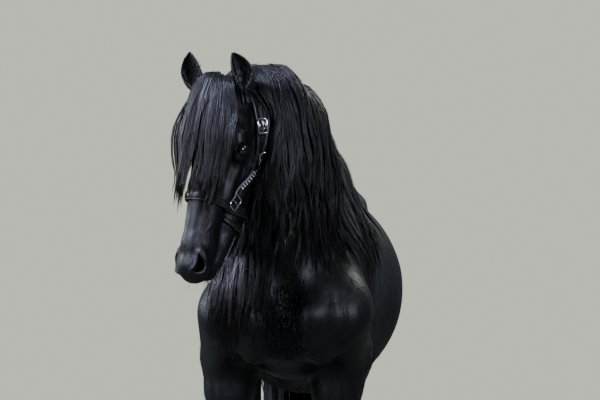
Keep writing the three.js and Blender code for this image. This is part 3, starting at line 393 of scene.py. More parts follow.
# %% Neck
NECK = [
    ((0, 250, 1370), 130, 282, 0),
    ((0, 120, 1512), 112, 254, 4),
    ((-18, 16, 1626), 96, 220, 14),
    ((-62, -60, 1693), 86, 176, 27),
    ((-112, -120, 1712), 75, 136, 34),
    ((-148, -168, 1720), 60, 84, 35),
]


def turned(degrees):
    return np.array([math.cos(math.radians(degrees)), -math.sin(math.radians(degrees)), 0.0])


neck_rods = [Rod(a[0], b[0], a[1:3], b[1:3], 50, turned(a[3])) for a, b in zip(NECK, NECK[1:])]

# %% [markdown]
# The head in its own frame: across to its left, along the face from the forehead to the lips, and back from
# the face line towards the jaw. Its landmarks are those of any horse: the broad jaw, the ridge that runs
# below the eye, the straight nasal bone, the soft wings of the nostrils, the lips and the chin.

# %% Head
HEAD_YAW, HEAD_ROLL, FACE_PITCH = math.radians(35), math.radians(1), math.radians(78)
HEAD_LENGTH = 600.0
FOREHEAD = np.array([-210.0, -247.0, 1820.0])


def turn_about(v, axis, angle):
    return np.array(Matrix.Rotation(angle, 3, Vector(axis)) @ Vector(v))


heading = np.array([-math.sin(HEAD_YAW), -math.cos(HEAD_YAW), 0.0])
head_left = turn_about((math.cos(HEAD_YAW), -math.sin(HEAD_YAW), 0), heading, -HEAD_ROLL)
head_down = turn_about(heading, head_left, FACE_PITCH)
head_back = np.cross(head_left, head_down)
HEAD_AXES = np.array([head_left, head_down, head_back])


def on_head(across, along, back):
    """A point of the head in the horse's plan."""
    return FOREHEAD + across * head_left + along * head_down + back * head_back


def in_head(points):
    """Points of the plan in the head's own frame."""
    return (points - FOREHEAD) @ HEAD_AXES.T


def head_rod(a, b, size_a, size_b, blend):
    return Rod(on_head(*a), on_head(*b), size_a, size_b, blend, head_left)


skull_rods = [
    head_rod((0, 38, 90), (0, 150, 96), (62, 78), (82, 92), 40),
    head_rod((0, 150, 90), (0, 330, 80), (82, 88), (52, 76), 30),
    head_rod((0, 330, 74), (0, 490, 66), (52, 70), (45, 60), 24),
    head_rod((0, 490, 66), (0, HEAD_LENGTH - 48, 62), (46, 60), (50, 53), 20),
    head_rod((0, HEAD_LENGTH - 50, 48), (0, HEAD_LENGTH - 28, 62), (42, 36), (40, 30), 16),
    head_rod((0, 505, 124), (0, HEAD_LENGTH - 38, 114), (36, 30), (37, 27), 14),
]


def face_rods(side):
    return [
        # Jaw and cheek, brow, the ridge of the cheek, the wing of the nostril and the root of the ear
        head_rod((side * 48, 150, 190), (side * 50, 258, 198), (27, 84), (25, 82), 26),
        head_rod((side * 48, 258, 190), (side * 32, 415, 152), (25, 74), (21, 38), 22),
        head_rod((side * 30, 415, 152), (side * 22, 525, 126), (23, 36), (22, 26), 18),
        head_rod((side * 80, 156, 70), (side * 82, 214, 84), (24, 26), (24, 28), 18),
        head_rod((side * 69, 215, 108), (side * 50, 350, 94), (15, 15), (11, 13), 20),
        head_rod((side * 38, 515, 42), (side * 42, 562, 52), (16, 22), (18, 26), 14),
        head_rod((side * 66, 22, 80), (side * 62, 66, 86), (26, 26), (30, 34), 24),
    ]


body_rods = trunk_rods + side_rods(1) + side_rods(-1) + neck_rods
head_rods = skull_rods + face_rods(1) + face_rods(-1)


def body_distance(points):
    straight = points.copy()
    straight[:, 0] -= sway(points[:, 1])
    return flesh(body_rods, straight)


def head_distance(points):
    return flesh(head_rods, points)


THROAT_BLEND = 26.0


def skin_distance(points):
    """Head and body melted into one at the throat."""
    a, b = body_distance(points), head_distance(points)
    mix = np.maximum(THROAT_BLEND - np.abs(a - b), 0) / THROAT_BLEND
    return np.minimum(a, b) - mix * mix * THROAT_BLEND / 4


def slope(field, points, step=3.0):
    here = field(points)
    out = np.stack([field(points + step * axis) - here for axis in np.eye(3)], axis=1)
    return here, unit(out)


print("bones and muscles:", len(body_rods) + len(head_rods))

# %% [markdown]
# The skin starts as a block-out. One ball is added for each bone or muscle, its two halves are drawn out to
# the two ends of the rod, and the balls are joined. A voxel remesh then wraps them all in one closed skin,
# as wet clay is pressed over a wire frame.

# %% Block out the body
def mesh_points(obj):
    flat = np.empty(len(obj.data.vertices) * 3)
    obj.data.vertices.foreach_get("co", flat)
    return to_plan(flat.reshape(-1, 3))


def set_mesh_points(obj, points):
    obj.data.vertices.foreach_set("co", to_model(points).ravel())
    obj.data.update()


def new_ball(segments, ring_count):
    """A ball of radius 1, and its points, to be drawn out to a shape."""
    bpy.ops.mesh.primitive_uv_sphere_add(segments=segments, ring_count=ring_count, radius=1)
    ball = bpy.context.object
    return ball, np.array([v.co for v in ball.data.vertices])


def blob(rod, bent):
    obj, unit_ball = new_ball(16, 10)
    at_start = unit_ball[:, 2:] > -0.01
    ends = np.where(at_start, rod.start, rod.end)
    sizes = np.where(at_start, rod.size_a, rod.size_b)
    rounding = np.minimum(sizes[:, 0], sizes[:, 1])
    place = (
        ends
        + unit_ball[:, :1] * sizes[:, :1] * rod.across
        + unit_ball[:, 1:2] * sizes[:, 1:] * rod.deep
        - unit_ball[:, 2:] * rounding[:, None] * rod.along
    )
    if bent:
        place[:, 0] += sway(place[:, 1])
    set_mesh_points(obj, place)
    return obj


def select_only(objects):
    bpy.ops.object.select_all(action="DESELECT")
    for obj in objects:
        obj.select_set(True)
    bpy.context.view_layer.objects.active = objects[0]


def apply_modifier(obj, kind, **settings):
    modifier = obj.modifiers.new(kind.lower(), kind)
    for key, value in settings.items():
        setattr(modifier, key, value)
    select_only([obj])
    bpy.ops.object.modifier_apply(modifier=modifier.name)


VOXEL = 16.5  # millimetres
bpy.ops.object.select_all(action="DESELECT")
blobs = [blob(rod, True) for rod in body_rods] + [blob(rod, False) for rod in head_rods]
select_only(blobs)
bpy.ops.object.join()
skin = bpy.context.object
skin.name = "horse_skin"
bpy.ops.object.transform_apply()
apply_modifier(skin, "REMESH", mode="VOXEL", voxel_size=VOXEL * MM)
print("block-out:", len(skin.data.vertices), "points")

# %% [markdown]
# Each point of the skin is now pulled onto the flesh, by the formula, and the points are spread evenly
# again between the pulls. The hair of the coat is about 3 mm deep, so the skin lies that far inside the
# solids, and a little further at the breast, where the solids' form is fuller.

# %% Pull the skin onto the flesh
COAT_DEPTH = 3.0


def read_all(items, key, each=1):
    """One property of every item of a mesh, as whole numbers."""
    flat = np.empty(len(items) * each, int)
    items.foreach_get(key, flat)
    return flat


def mesh_edges(obj):
    return read_all(obj.data.edges, "vertices", 2).reshape(-1, 2)


def neighbour_mean(points, edges):
    total = np.zeros_like(points)
    count = np.zeros(len(points))
    for a, b in ((0, 1), (1, 0)):
        np.add.at(total, edges[:, a], points[edges[:, b]])
        np.add.at(count, edges[:, a], 1)
    return total / np.maximum(count, 1)[:, None]


def pulled(points, field, level, most=14.0):
    here, normal = slope(field, points)
    return points - normal * np.clip(here - level, -most, most)[:, None]


def settle(points, edges, field, level, rounds, mask=None):
    """Pull onto the flesh and even out, a few times over."""
    chosen = np.ones(len(points), bool) if mask is None else mask
    for k in range(rounds):
        if k:
            points[chosen] = lerp(points, neighbour_mean(points, edges), 0.5)[chosen]
        points[chosen] = pulled(points[chosen], field, level)
    return points


points = mesh_points(skin)
points = settle(points, mesh_edges(skin), skin_distance, -COAT_DEPTH, 5)
set_mesh_points(skin, points)
print("the skin reaches", round(float(points[:, 2].max())), "mm up, at the poll")

# %% [markdown]
# The head is looked at most, so its part of the skin is divided twice more, the rims of the nostrils and
# lips once again, the eyes twice again, and the lean lower legs once, before their features are modelled.

# %% Places of the eyes, the nostrils and the mouth
# On the head, as across, along and back, in millimetres
EYE = (88, 198, 84)
EYE_RADIUS = 20.0
NOSTRIL = (46, 552, 30)
MOUTH_LINE = [(-14, 592, 80), (20, 588, 81), (36, 574, 83), (46, 548, 87), (51, 520, 92), (54, 492, 99)]


def mouth_path(side):
    return [on_head(side * a, t, b) for a, t, b in MOUTH_LINE]


def gap_to(points, spot, side):
    """Distance of each point from a spot of the head, on one side."""
    return np.linalg.norm(points - on_head(side * spot[0], *spot[1:]), axis=1)


def near_line(points, path, reach):
    found = np.zeros(len(points), bool)
    for a, b in zip(path, path[1:]):
        t = np.clip((points - a) @ (b - a) / ((b - a) @ (b - a)), 0, 1)
        found |= np.linalg.norm(points - a - t[:, None] * (b - a), axis=1) < reach
    return found


def on_the_head(points):
    across, along, back = in_head(points).T
    near = head_distance(points) < 9
    return near & (along > 4) & (np.abs(across) < 140) & (back < 300)


def low_on_a_leg(points):
    return points[:, 2] < 900


def at_a_rim(points):
    found = np.zeros(len(points), bool)
    for side in (1, -1):
        found |= gap_to(points, EYE, side) < 46
        found |= gap_to(points, NOSTRIL, side) < 38
        found |= near_line(points, mouth_path(side), 15)
    return found


def at_an_eye(points):
    return np.minimum(gap_to(points, EYE, 1), gap_to(points, EYE, -1)) < 34


def divide(obj, chooser):
    """Divides the faces whose corners are all chosen, and pulls the new points onto the flesh."""
    mesh = obj.data
    chosen = chooser(mesh_points(obj))
    corner, starts = read_all(mesh.loops, "vertex_index"), read_all(mesh.polygons, "loop_start")
    picked = np.minimum.reduceat(chosen[corner].astype(int), starts).astype(bool)
    mesh.vertices.foreach_set("select", np.zeros(len(chosen), bool))
    mesh.edges.foreach_set("select", np.zeros(len(mesh.edges), bool))
    mesh.polygons.foreach_set("select", picked)
    select_only([obj])
    bpy.ops.object.mode_set(mode="EDIT")
    bpy.ops.mesh.select_mode(type="FACE")
    bpy.ops.mesh.subdivide(number_cuts=1, ngon=False, quadcorner="STRAIGHT_CUT")
    bpy.ops.object.mode_set(mode="OBJECT")
    points = mesh_points(obj)
    points = settle(points, mesh_edges(obj), skin_distance, -COAT_DEPTH, 2, chooser(points))
    set_mesh_points(obj, points)

# %% Divide the skin where it is fine
for region in (low_on_a_leg, on_the_head, on_the_head, at_a_rim, at_an_eye):
    divide(skin, region)
print("skin:", len(skin.data.vertices), "points", len(skin.data.polygons), "faces")

# %% [markdown]
# Hollows and ridges. Where bone, tendon and vein show through the thin skin of a horse, the surface rises
# or sinks by a few millimetres along a line. Each such line has its points, a width and a height.

# %% Lines under the skin
def line_lift(points, start, end, width, height):
    """Height of a soft ridge along a line, or of a furrow where the height is negative."""
    start, end = np.asarray(start, float), np.asarray(end, float)
    axis = end - start
    t = np.clip((points - start) @ axis / (axis @ axis), 0, 1)
    off = np.linalg.norm(points - start - t[:, None] * axis, axis=1)
    fade = 0.35 + 0.65 * bell(0.1 + 0.8 * t)
    return height * fade * np.exp(-((off / width) ** 2))


def path_lift(points, path, width, height):
    pieces = [line_lift(points, a, b, width, height) for a, b in zip(path, path[1:])]
    pick = np.max if height > 0 else np.min
    return pick(pieces, axis=0)

# %% Lines of the body
# Each has the place that it is measured from, its points, its width and its height
BODY_LINES = [
    # Breast: the groove between its two muscles, the one towards the arm, a fold above the forearm
    ("body", [(0, -45, 1220), (0, -60, 1100), (0, -30, 970)], 34, -24),
    ("body", [(150, -20, 1200), (156, -20, 1100), (150, 40, 960)], 22, -11),
    ("body", [(64, -70, 1150), (76, -50, 1050)], 40, 9),
    ("body", [(112, -60, 1060), (108, -30, 940), (96, 20, 860)], 18, -7),
    ("body", [(180, 0, 1130), (196, 20, 1020)], 24, 6),
    # Neck: the groove of the great vein, and the muscle above it
    ("body", [(118, 90, 1250), (106, 20, 1400), (70, -60, 1560)], 24, -9),
    ("body", [(150, 130, 1240), (140, 60, 1400), (104, -10, 1540)], 30, 6),
    # Shoulder blade, its spine, and the line between arm and triceps
    ("body", [(80, 430, 1500), (170, 260, 1330), (228, 90, 1160)], 24, 6),
    ("body", [(120, 480, 1440), (215, 330, 1260), (262, 180, 1090)], 26, -9),
    ("body", [(262, 200, 1080), (264, 320, 1000)], 22, -9),
    ("body", [(230, 470, 1330), (264, 470, 1120), (240, 430, 985)], 30, -11),
    # Flank, point of the hip, stifle fold, and the groove of the hamstrings
    ("body", [(215, 1075, 1415), (232, 1100, 1320)], 44, -14),
    ("body", [(205, 1150, 1465), (214, 1185, 1440)], 36, 12),
    ("body", [(262, 1060, 1220), (252, 1120, 1060)], 34, -10),
    ("body", [(205, 1420, 1380), (236, 1455, 1180), (200, 1430, 1010)], 26, -9),
    ("body", [(140, 1600, 1330), (170, 1560, 1150), (150, 1500, 1000)], 24, 5),
    # Forearm, knee and the tendons behind the cannon
    ("fore", [(60, 0, 860), (40, -30, 740), (24, -40, 640)], 14, 4),
    ("fore", [(70, 60, 850), (46, 34, 720), (34, 24, 630)], 13, -4),
    ("fore", [(-60, 30, 850), (-40, 20, 720)], 14, -4),
    ("fore", [(40, -34, 560), (-40, -34, 560)], 11, 4),
    ("fore", [(36, -42, 525), (-36, -42, 525)], 9, -4),
    ("fore", [(38, -30, 498), (-38, -30, 498)], 10, 3),
    ("fore", [(28, 18, 480), (24, 18, 260)], 8, -5),
    ("fore", [(-28, 18, 480), (-24, 18, 260)], 8, -5),
    # Gaskin, hock and its tendon
    ("hind", [(86, -150, 920), (60, -60, 800), (40, 10, 700)], 15, -7),
    ("hind", [(-30, -130, 900), (-24, -20, 760)], 15, -6),
    ("hind", [(44, -34, 640), (44, 10, 600)], 14, 4),
    ("hind", [(30, 16, 560), (26, 20, 270)], 8, -5),
    ("hind", [(-30, 16, 560), (-26, 20, 270)], 8, -5),
]


def body_lines(points):
    lift = np.zeros(len(points))
    for side in (1, -1):
        frames = dict(zip(("body", "fore", "hind"), places(side, bent=True)))
        for label, path, width, height in BODY_LINES:
            lift += path_lift(points, [frames[label](*place) for place in path], width, height)
        # Ribs, only just felt behind the shoulder
        for rib in range(6):
            y = 610 + 62 * rib
            rib_line = ((282, y, 1330), (306, y + 40, 1180), (280, y + 70, 1060))
            lift += path_lift(points, [frames["body"](*place) for place in rib_line], 15, 1.8)
    return lift

# %% Lines of the head
HEAD_LINES = [
    # Bone round the eye, the hollow above it and the one below
    ([(74, 158, 60), (95, 178, 68), (101, 202, 78)], 13, 2.6),
    ([(92, 228, 76), (98, 238, 96), (96, 226, 114)], 10, 2.0),
    ([(62, 116, 66), (68, 138, 68)], 18, -5),
    ([(80, 246, 70), (68, 280, 66)], 18, -2.0),
    # The ridge of the cheek, the edge of the jaw muscle and the jaw bone
    ([(88, 240, 112), (70, 296, 110), (58, 356, 104)], 11, 3.6),
    ([(76, 300, 128), (74, 320, 170), (66, 290, 225)], 18, -3.0),
    ([(80, 150, 250), (80, 220, 268), (66, 300, 248), (50, 380, 200)], 15, 3),
    ([(84, 120, 130), (86, 150, 200)], 22, -4),
    # Nasal bone, the soft side of the nose and the vein that crosses it
    ([(26, 250, 10), (24, 400, 12), (22, 500, 12)], 14, 1.6),
    ([(50, 330, 44), (42, 430, 40), (38, 500, 28)], 20, -2.6),
    ([(60, 350, 104), (54, 380, 80), (48, 420, 62), (42, 450, 44)], 4.5, 1.5),
    ([(56, 372, 84), (52, 400, 96), (48, 440, 100)], 4.0, 1.2),
    # Nostril wing, and the folds beside it
    ([(40, 496, 20), (52, 514, 32), (57, 540, 46)], 10, 3.6),
    ([(56, 500, 44), (60, 528, 62)], 9, -3),
    # Lips
    ([(48, 520, 84), (46, 560, 78), (36, 592, 72)], 12, 2.2),
    ([(46, 515, 108), (40, 550, 104), (28, 578, 100)], 10, 2),
    ([(52, 488, 98), (58, 498, 108)], 10, 2.6),
]


def head_lines(points):
    lift = np.zeros(len(points))
    for side in (1, -1):

        def at(across, along, back):
            return on_head(side * across, along, back)

        for path, width, height in HEAD_LINES:
            lift += path_lift(points, [at(*place) for place in path], width, height)
        # Fine wrinkles behind the corner of the mouth and over the nostril
        for k in range(4):
            lift += line_lift(points, at(56, 470 + 7 * k, 88), at(54, 476 + 7 * k, 116), 2.6, -1.5)
            lift += line_lift(points, at(46, 486 + 6 * k, 26), at(56, 498 + 6 * k, 48), 2.4, -1.3)
    # The dimple of the chin and the hollow between the jaws
    lift += line_lift(points, on_head(0, 520, 150), on_head(0, 560, 146), 16, 5)
    lift += line_lift(points, on_head(0, 250, 260), on_head(0, 440, 178), 22, -12)
    lift += line_lift(points, on_head(0, 560, 22), on_head(0, 600, 44), 8, -2.5)
    return lift

# %% Raise and sink the skin along the lines
points = mesh_points(skin)
_, normal = slope(skin_distance, points)
headness = smooth(in_head(points)[:, 1], 0, 60) * (head_distance(points) < 12)
lift = body_lines(points) * (1 - headness) + head_lines(points) * headness
points += normal * lift[:, None]
print("ridges to", round(float(lift.max()), 1), "mm, furrows to", round(float(lift.min()), 1), "mm")

# %% [markdown]
# Nostrils, mouth and the sockets of the eyes are pressed into the skin. A nostril is a comma, wide at the
# bottom, with a soft raised wing. The mouth is a fine line that ends in a corner. Sizes are in millimetres.

# %% Nostrils and mouth
NOSTRIL_HALF = (12.5, 26.0)  # half its width and half its height
NOSTRIL_DEPTH, WING_LIFT = 34.0, 3.2


def nostril_frame(side):
    out = unit(0.72 * side * head_left - 0.62 * head_back + 0.3 * head_down)
    up = -head_down + 0.3 * side * head_left
    up = unit(up - out * (up @ out))
    return on_head(side * NOSTRIL[0], *NOSTRIL[1:]), np.cross(up, out), up, out


def press_nostril(points, side):
    middle, across, up, out = nostril_frame(side)
    rel = points - middle
    a, b, c = rel @ across * -side, rel @ up, rel @ out
    bent = a - 0.016 * (b + 6) ** 2 + 3
    wide = NOSTRIL_HALF[0] * (1 - 0.3 * np.clip(b / NOSTRIL_HALF[1], -1, 1))
    ring = np.sqrt((bent / wide) ** 2 + (b / NOSTRIL_HALF[1]) ** 2)
    near = np.exp(-((c / 32) ** 2))
    hole = 1 - smooth(ring, 0.72, 1.04)
    wing = np.exp(-(((ring - 1.32) / 0.26) ** 2))
    return points + ((wing * WING_LIFT - hole * NOSTRIL_DEPTH) * near)[:, None] * out


def press_mouth(points, normal):
    deep = np.zeros(len(points))
    for side in (1, -1):
        deep = np.minimum(deep, path_lift(points, mouth_path(side), 3.0, -5.0))
    return points + normal * deep[:, None]


for side in (1, -1):
    points = press_nostril(points, side)
points = press_mouth(points, normal)

# %% Sockets and lids of the eyes
SLIT_HALF = (18.5, 11.0)  # along the slit and across it
SLIT_TILT = math.radians(24)
LID = 3.2  # thickness of a lid


def eye_frame(side):
    """Middle of the eyeball, then along the slit towards the ear, across it to the brow, and outwards."""
    out = unit(0.93 * side * head_left - 0.34 * head_back + 0.1 * head_down)
    up = unit(-head_down + out * (out @ head_down))
    fore = unit(np.cross(up, out))
    fore *= -np.sign(fore @ head_back)
    along = up * math.cos(SLIT_TILT) - fore * math.sin(SLIT_TILT)
    brow = fore * math.cos(SLIT_TILT) + up * math.sin(SLIT_TILT)
    return on_head(side * EYE[0], *EYE[1:]), along, brow, out


def slit_ring(a, b):
    """1 on the rim of the slit: an almond, blunt at the front corner and drawn out to the back."""
    pinch = 1 - 0.34 * np.clip(np.abs(a) / SLIT_HALF[0], 0, 1.6) ** 2.2
    return np.sqrt((a / SLIT_HALF[0]) ** 2 + (b / (SLIT_HALF[1] * np.maximum(pinch, 0.3))) ** 2)


def press_socket(points, side):
    middle, along, brow, out = eye_frame(side)
    rel = points - middle
    a, b, c = rel @ along, rel @ brow, rel @ out
    flat, cover = np.hypot(a, b), EYE_RADIUS + LID
    ball = np.sqrt(np.maximum(cover**2 - flat**2, 0)) * (flat < cover)
    ring = slit_ring(a, b)
    near = (c > -16) & (flat < 44)
    # Over the ball the skin becomes lids, with a fold above the upper one
    lid = np.where(flat < cover, np.maximum(ball, c - 6 * smooth(flat, 10, 24)), c)
    lid = lerp(c, lid, 1 - smooth(flat, 20, 30))
    fold = -2.4 * np.exp(-(((ring - 1.75) / 0.16) ** 2)) * smooth(b, -2, 8)
    fold += 1.6 * np.exp(-(((ring - 2.1) / 0.25) ** 2)) * smooth(b, -2, 8)
    fold -= 1.0 * np.exp(-(((ring - 1.9) / 0.18) ** 2)) * smooth(-b, 0, 8)
    rim = 0.9 * np.exp(-(((ring - 1.1) / 0.1) ** 2))
    inner = -math.sqrt(EYE_RADIUS) - 2
    target = np.where(ring < 1.0, np.minimum(lid, inner), lid + fold + rim)
    return points + np.where(near, target - c, 0)[:, None] * out


for side in (1, -1):
    points = press_socket(points, side)
set_mesh_points(skin, points)
print("features pressed in")

# %% [markdown]
# The ears are cups of gristle covered with skin. Each is a sheet bent round its own axis, wide in the
# middle, drawn to a point that leans inwards, and open to the front. The sheet is thickened, sunk in the
# poll and joined to the skin, and the join is smoothed away.

# %% Ears
EAR_LENGTH = 132.0
EAR_COLUMNS, EAR_ROWS = 28, 34
EAR_ENDS = (-0.2, 0.985)  # the sheet starts inside the poll
EAR_WALL = 2.6
EAR_REACH = 75.0  # nothing of an ear's foot is further from its middle


def ear_frame(side):
    foot = on_head(76, 40, 76) if side > 0 else on_head(-80, 32, 76)
    tall = unit((-26, -8, 116) if side > 0 else (-36, -8, 106))
    face = np.array((0.05, -1, 0.1) if side > 0 else (-0.45, -1, 0.1))
    face = unit(face - tall * (face @ tall))
    return foot, tall, face, unit(np.cross(face, tall))


def ear_point(side, turn, t):
    """Turn runs from -1 at one rim round the back to 1 at the other, t from the foot to the tip."""
    foot, tall, face, across = ear_frame(side)
    rise = np.clip(t, 0, 1)
    slim = 0.9 if side > 0 else 1.0
    width = slim * (14 + 20 * bell(0.1 + 0.78 * rise)) * (1 - rise**7) + 0.4
    depth = (18 + 3 * bell(rise)) * (1 - rise**5) + 0.4
    inward = 15 * bell(rise * 0.9) - 8 * rise**3
    gape = np.radians(3 + 66 * smooth(rise, 0.1, 0.5) - 14 * smooth(rise, 0.7, 1))
    angle = np.pi + turn * (np.pi - gape)
    roll = 1 - 0.16 * np.abs(turn) ** 6 * bell(0.1 + 0.8 * rise)
    middle = foot + (EAR_LENGTH * t)[:, None] * tall - (side * inward)[:, None] * across
    middle = middle + (4 * bell(rise))[:, None] * face
    wide, deep = width * roll * np.sin(angle), depth * np.cos(angle)
    return middle + wide[:, None] * across + deep[:, None] * face


def faces_outwards(obj):
    select_only([obj])
    bpy.ops.object.mode_set(mode="EDIT")
    bpy.ops.mesh.select_all(action="SELECT")
    bpy.ops.mesh.normals_make_consistent(inside=False)
    bpy.ops.object.mode_set(mode="OBJECT")


ears = []
for side in (1, -1):
    bpy.ops.mesh.primitive_grid_add(x_subdivisions=EAR_COLUMNS, y_subdivisions=EAR_ROWS, size=2)
    ear = bpy.context.object
    sheet = np.array([v.co for v in ear.data.vertices])
    set_mesh_points(ear, ear_point(side, sheet[:, 0], lerp(*EAR_ENDS, (sheet[:, 1] + 1) / 2)))
    apply_modifier(ear, "SOLIDIFY", thickness=EAR_WALL * MM, offset=-side)
    faces_outwards(ear)
    ears.append(ear)

for ear in ears:
    apply_modifier(skin, "BOOLEAN", object=ear, operation="UNION", solver="EXACT")
select_only(ears)
bpy.ops.object.delete()


def smooth_near(obj, field, low, high, rounds):
    """Evens out the points where a field lies between two values."""
    points, edges = mesh_points(obj), mesh_edges(obj)
    value = field(points)
    weight = (smooth(value, low - 2, low) * (1 - smooth(value, high, high + 4)))[:, None]
    for _ in range(rounds):
        points = lerp(points, neighbour_mean(points, edges), 0.5 * weight)
    set_mesh_points(obj, points)


def height_at_ears(points):
    """Distance above the head's own surface near the ears, and far below zero elsewhere."""
    feet = [np.linalg.norm(points - ear_frame(side)[0], axis=1) for side in (1, -1)]
    return np.where(np.minimum(*feet) < EAR_REACH, head_distance(points) + COAT_DEPTH, -99)


smooth_near(skin, height_at_ears, -3, 9, 10)
triangles = sum(len(face.vertices) - 2 for face in skin.data.polygons)
print("skin with ears:", len(skin.data.vertices), "points", triangles, "triangles")

# %% [markdown]
# The coat. A black coat hardly shows a colour of its own: what shows is a broad, cool gloss, broken by the
# short hairs and by the clumps that they lie in. The hairs lie from the poll down the face, from the
# withers to the tail along the trunk, and downwards on the neck and the legs. Round the nostrils, the lips
# and the eyes the skin is almost bare, with fine pores. Three masks on the skin carry these differences.

# %% Masks on the skin
def lie_shares(points):
    """How far a point belongs to the head and to the trunk. What is left hangs straight down."""
    headness = smooth(body_distance(points) - head_distance(points), -25, 25)
    headness *= smooth(in_head(points)[:, 1], -40, 40)
    trunk = smooth(points[:, 1], 150, 520) * smooth(points[:, 2], 860, 1060) * (1 - headness)
    return headness, trunk


def bareness(points):
    """1 on the bare skin of nostrils, lips and eyelids, 0 where the hair is full."""
    bare = np.zeros(len(points))
    for side in (1, -1):
        for spot, reach in ((NOSTRIL, 40), (EYE, 24)):
            bare = np.maximum(bare, 1 - smooth(gap_to(points, spot, side), 0.5 * reach, reach))
    _, along, _ = in_head(points).T
    chin = smooth(along, 555, 600) * (head_distance(points) < 20)
    return np.maximum(bare, chin)


def add_values(mesh, label, values):
    """Gives every point of a mesh a number that its material can read."""
    layer = mesh.attributes.new(label, "FLOAT", "POINT")
    layer.data.foreach_set("value", values.astype(np.float32))


points = mesh_points(skin)
headness, trunk = lie_shares(points)
for label, values in (("lie_head", headness), ("lie_trunk", trunk), ("bare_skin", bareness(points))):
    add_values(skin.data, label, values)
print("bare skin on", int((bareness(points) > 0.5).sum()), "points")

# %% Black horse coat
# Single hairs are 0.1 mm wide. They are drawn as streaks of 2.5 mm, as finer ones are lost at this distance.
TRUNK_LIE = unit((0.0, 0.92, -0.39))
HAIR_STREAK, CLUMP_STREAK = 400.0, 46.0  # per metre across the hairs
HAIR_STRETCH, CLUMP_STRETCH = 9.0, 3.0
PORES = 520.0  # per metre, about 2 mm apart


def streaks(tree, place, lie, scale, stretch):
    """Noise drawn out along the lie of the hair."""
    turn = Vector(lie).to_track_quat("Z", "Y").to_euler()
    turned_place = add_node(tree, "ShaderNodeMapping",
                            {"vector_type": "TEXTURE", "Rotation": turn, "Scale": (1.0, 1.0, stretch)},
                            {"Vector": place})
    return add_node(tree, "ShaderNodeTexNoise", {"Scale": scale, "Detail": 3.0, "Roughness": 0.6},
                    {"Vector": turned_place.outputs[0]}).outputs["Fac"]


skin_material, tree, shader = new_material("black_horse_coat", {"Specular IOR Level": 0.32})
place = add_node(tree, "ShaderNodeTexCoord").outputs["Object"]
to_head, to_trunk, to_bare = (
    add_node(tree, "ShaderNodeAttribute", {"attribute_name": label}).outputs["Fac"]
    for label in ("lie_head", "lie_trunk", "bare_skin")
)
heights = []
for scale, stretch in ((HAIR_STREAK, HAIR_STRETCH), (CLUMP_STREAK, CLUMP_STRETCH)):
    hanging = streaks(tree, place, (0.0, 0.05, -1.0), scale, stretch)
    on_trunk = add_node(tree, "ShaderNodeMix", {},
                        {0: to_trunk, 2: hanging, 3: streaks(tree, place, TRUNK_LIE, scale, stretch)})
    on_head_too = add_node(tree, "ShaderNodeMix", {}, {
        0: to_head, 2: on_trunk.outputs[0], 3: streaks(tree, place, head_down, scale, stretch)
    })
    heights.append(on_head_too.outputs[0])
pores = add_node(tree, "ShaderNodeTexVoronoi", {"Scale": PORES}, {"Vector": place})
fine = add_node(tree, "ShaderNodeMix", {}, {0: to_bare, 2: heights[0], 3: pores.outputs["Distance"]})
# Clumps vary at random between deeper and paler black, and the palest of them carry a painted lavender sheen.
COAT_TONES_AND_SHEEN = [(0.3, "#060607"), (0.55, "#0A0A0D"), (0.75, "#121016")]
black = add_node(tree, "ShaderNodeValToRGB", {"stops": COAT_TONES_AND_SHEEN}, {"Fac": heights[1]})
coat_colour = add_node(tree, "ShaderNodeMix", {"data_type": "RGBA", 7: hex_colour("#09090B")},
                       {0: to_bare, 6: black.outputs["Color"]})
gloss = add_node(tree, "ShaderNodeValToRGB", {"stops": [(0.3, 0.36), (0.7, 0.52)]}, {"Fac": heights[1]})
clump_bump = add_node(tree, "ShaderNodeBump", {"Strength": 0.7, "Distance": 0.004}, {"Height": heights[1]})
hair_bump = add_node(tree, "ShaderNodeBump", {"Strength": 0.7, "Distance": 0.0012},
                     {"Height": fine.outputs[0], "Normal": clump_bump.outputs["Normal"]})
wire(tree, shader, {
    "Base Color": coat_colour.outputs[2], "Roughness": gloss.outputs["Color"],
    "Normal": hair_bump.outputs["Normal"],
})
skin.data.materials.clear()
skin.data.materials.append(skin_material)
select_only([skin])
bpy.ops.object.shade_smooth()
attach(skin, "root")
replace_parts(skin, "torso", "neck", "head", "tail", "foreleg_left", "foreleg_right",
            "hind_leg_left", "hind_leg_right", "ear_left", "ear_right")

# %% [markdown]
# The eye of a horse is nearly black: a very dark brown iris, a bluish pupil that lies level, and a clear,
# wet cornea over both. The ball is one sphere with the cornea drawn out a little. Two attributes carry the
# place on the iris, so that the pattern keeps to the ball.

# %% Eyes
IRIS = 13.5  # half the width of the cornea
CORNEA_RISE = 1.6

eye_material, tree, shader = new_material(
    "wet_dark_eye", {"Roughness": 0.04, "Coat Weight": 1.0, "Coat Roughness": 0.02}
)
on_iris = add_node(tree, "ShaderNodeCombineXYZ")
for axis, label in (("X", "iris_a"), ("Y", "iris_b")):
    reader = add_node(tree, "ShaderNodeAttribute", {"attribute_name": label})
    tree.links.new(reader.outputs["Fac"], on_iris.inputs[axis])
place = on_iris.outputs[0]
pupil_shape = add_node(tree, "ShaderNodeVectorMath", {"operation": "MULTIPLY", 1: (1.5, 3.2, 1)}, {0: place})
pupil_far = add_node(tree, "ShaderNodeVectorMath", {"operation": "LENGTH"}, {0: pupil_shape.outputs[0]})
iris_far = add_node(tree, "ShaderNodeVectorMath", {"operation": "LENGTH"}, {0: place})
fibres = add_node(tree, "ShaderNodeTexNoise", {"Scale": 7.0, "Detail": 6.0, "Distortion": 0.6},
                  {"Vector": place})
brown = add_node(tree, "ShaderNodeValToRGB", {"stops": [(0.3, "#0D0705"), (0.7, "#1E110A")]},
                 {"Fac": fibres.outputs["Fac"]})
to_white = add_node(tree, "ShaderNodeValToRGB", {"stops": [(0.93, 0.0), (1.0, 1.0)]},
                    {"Fac": iris_far.outputs["Value"]})
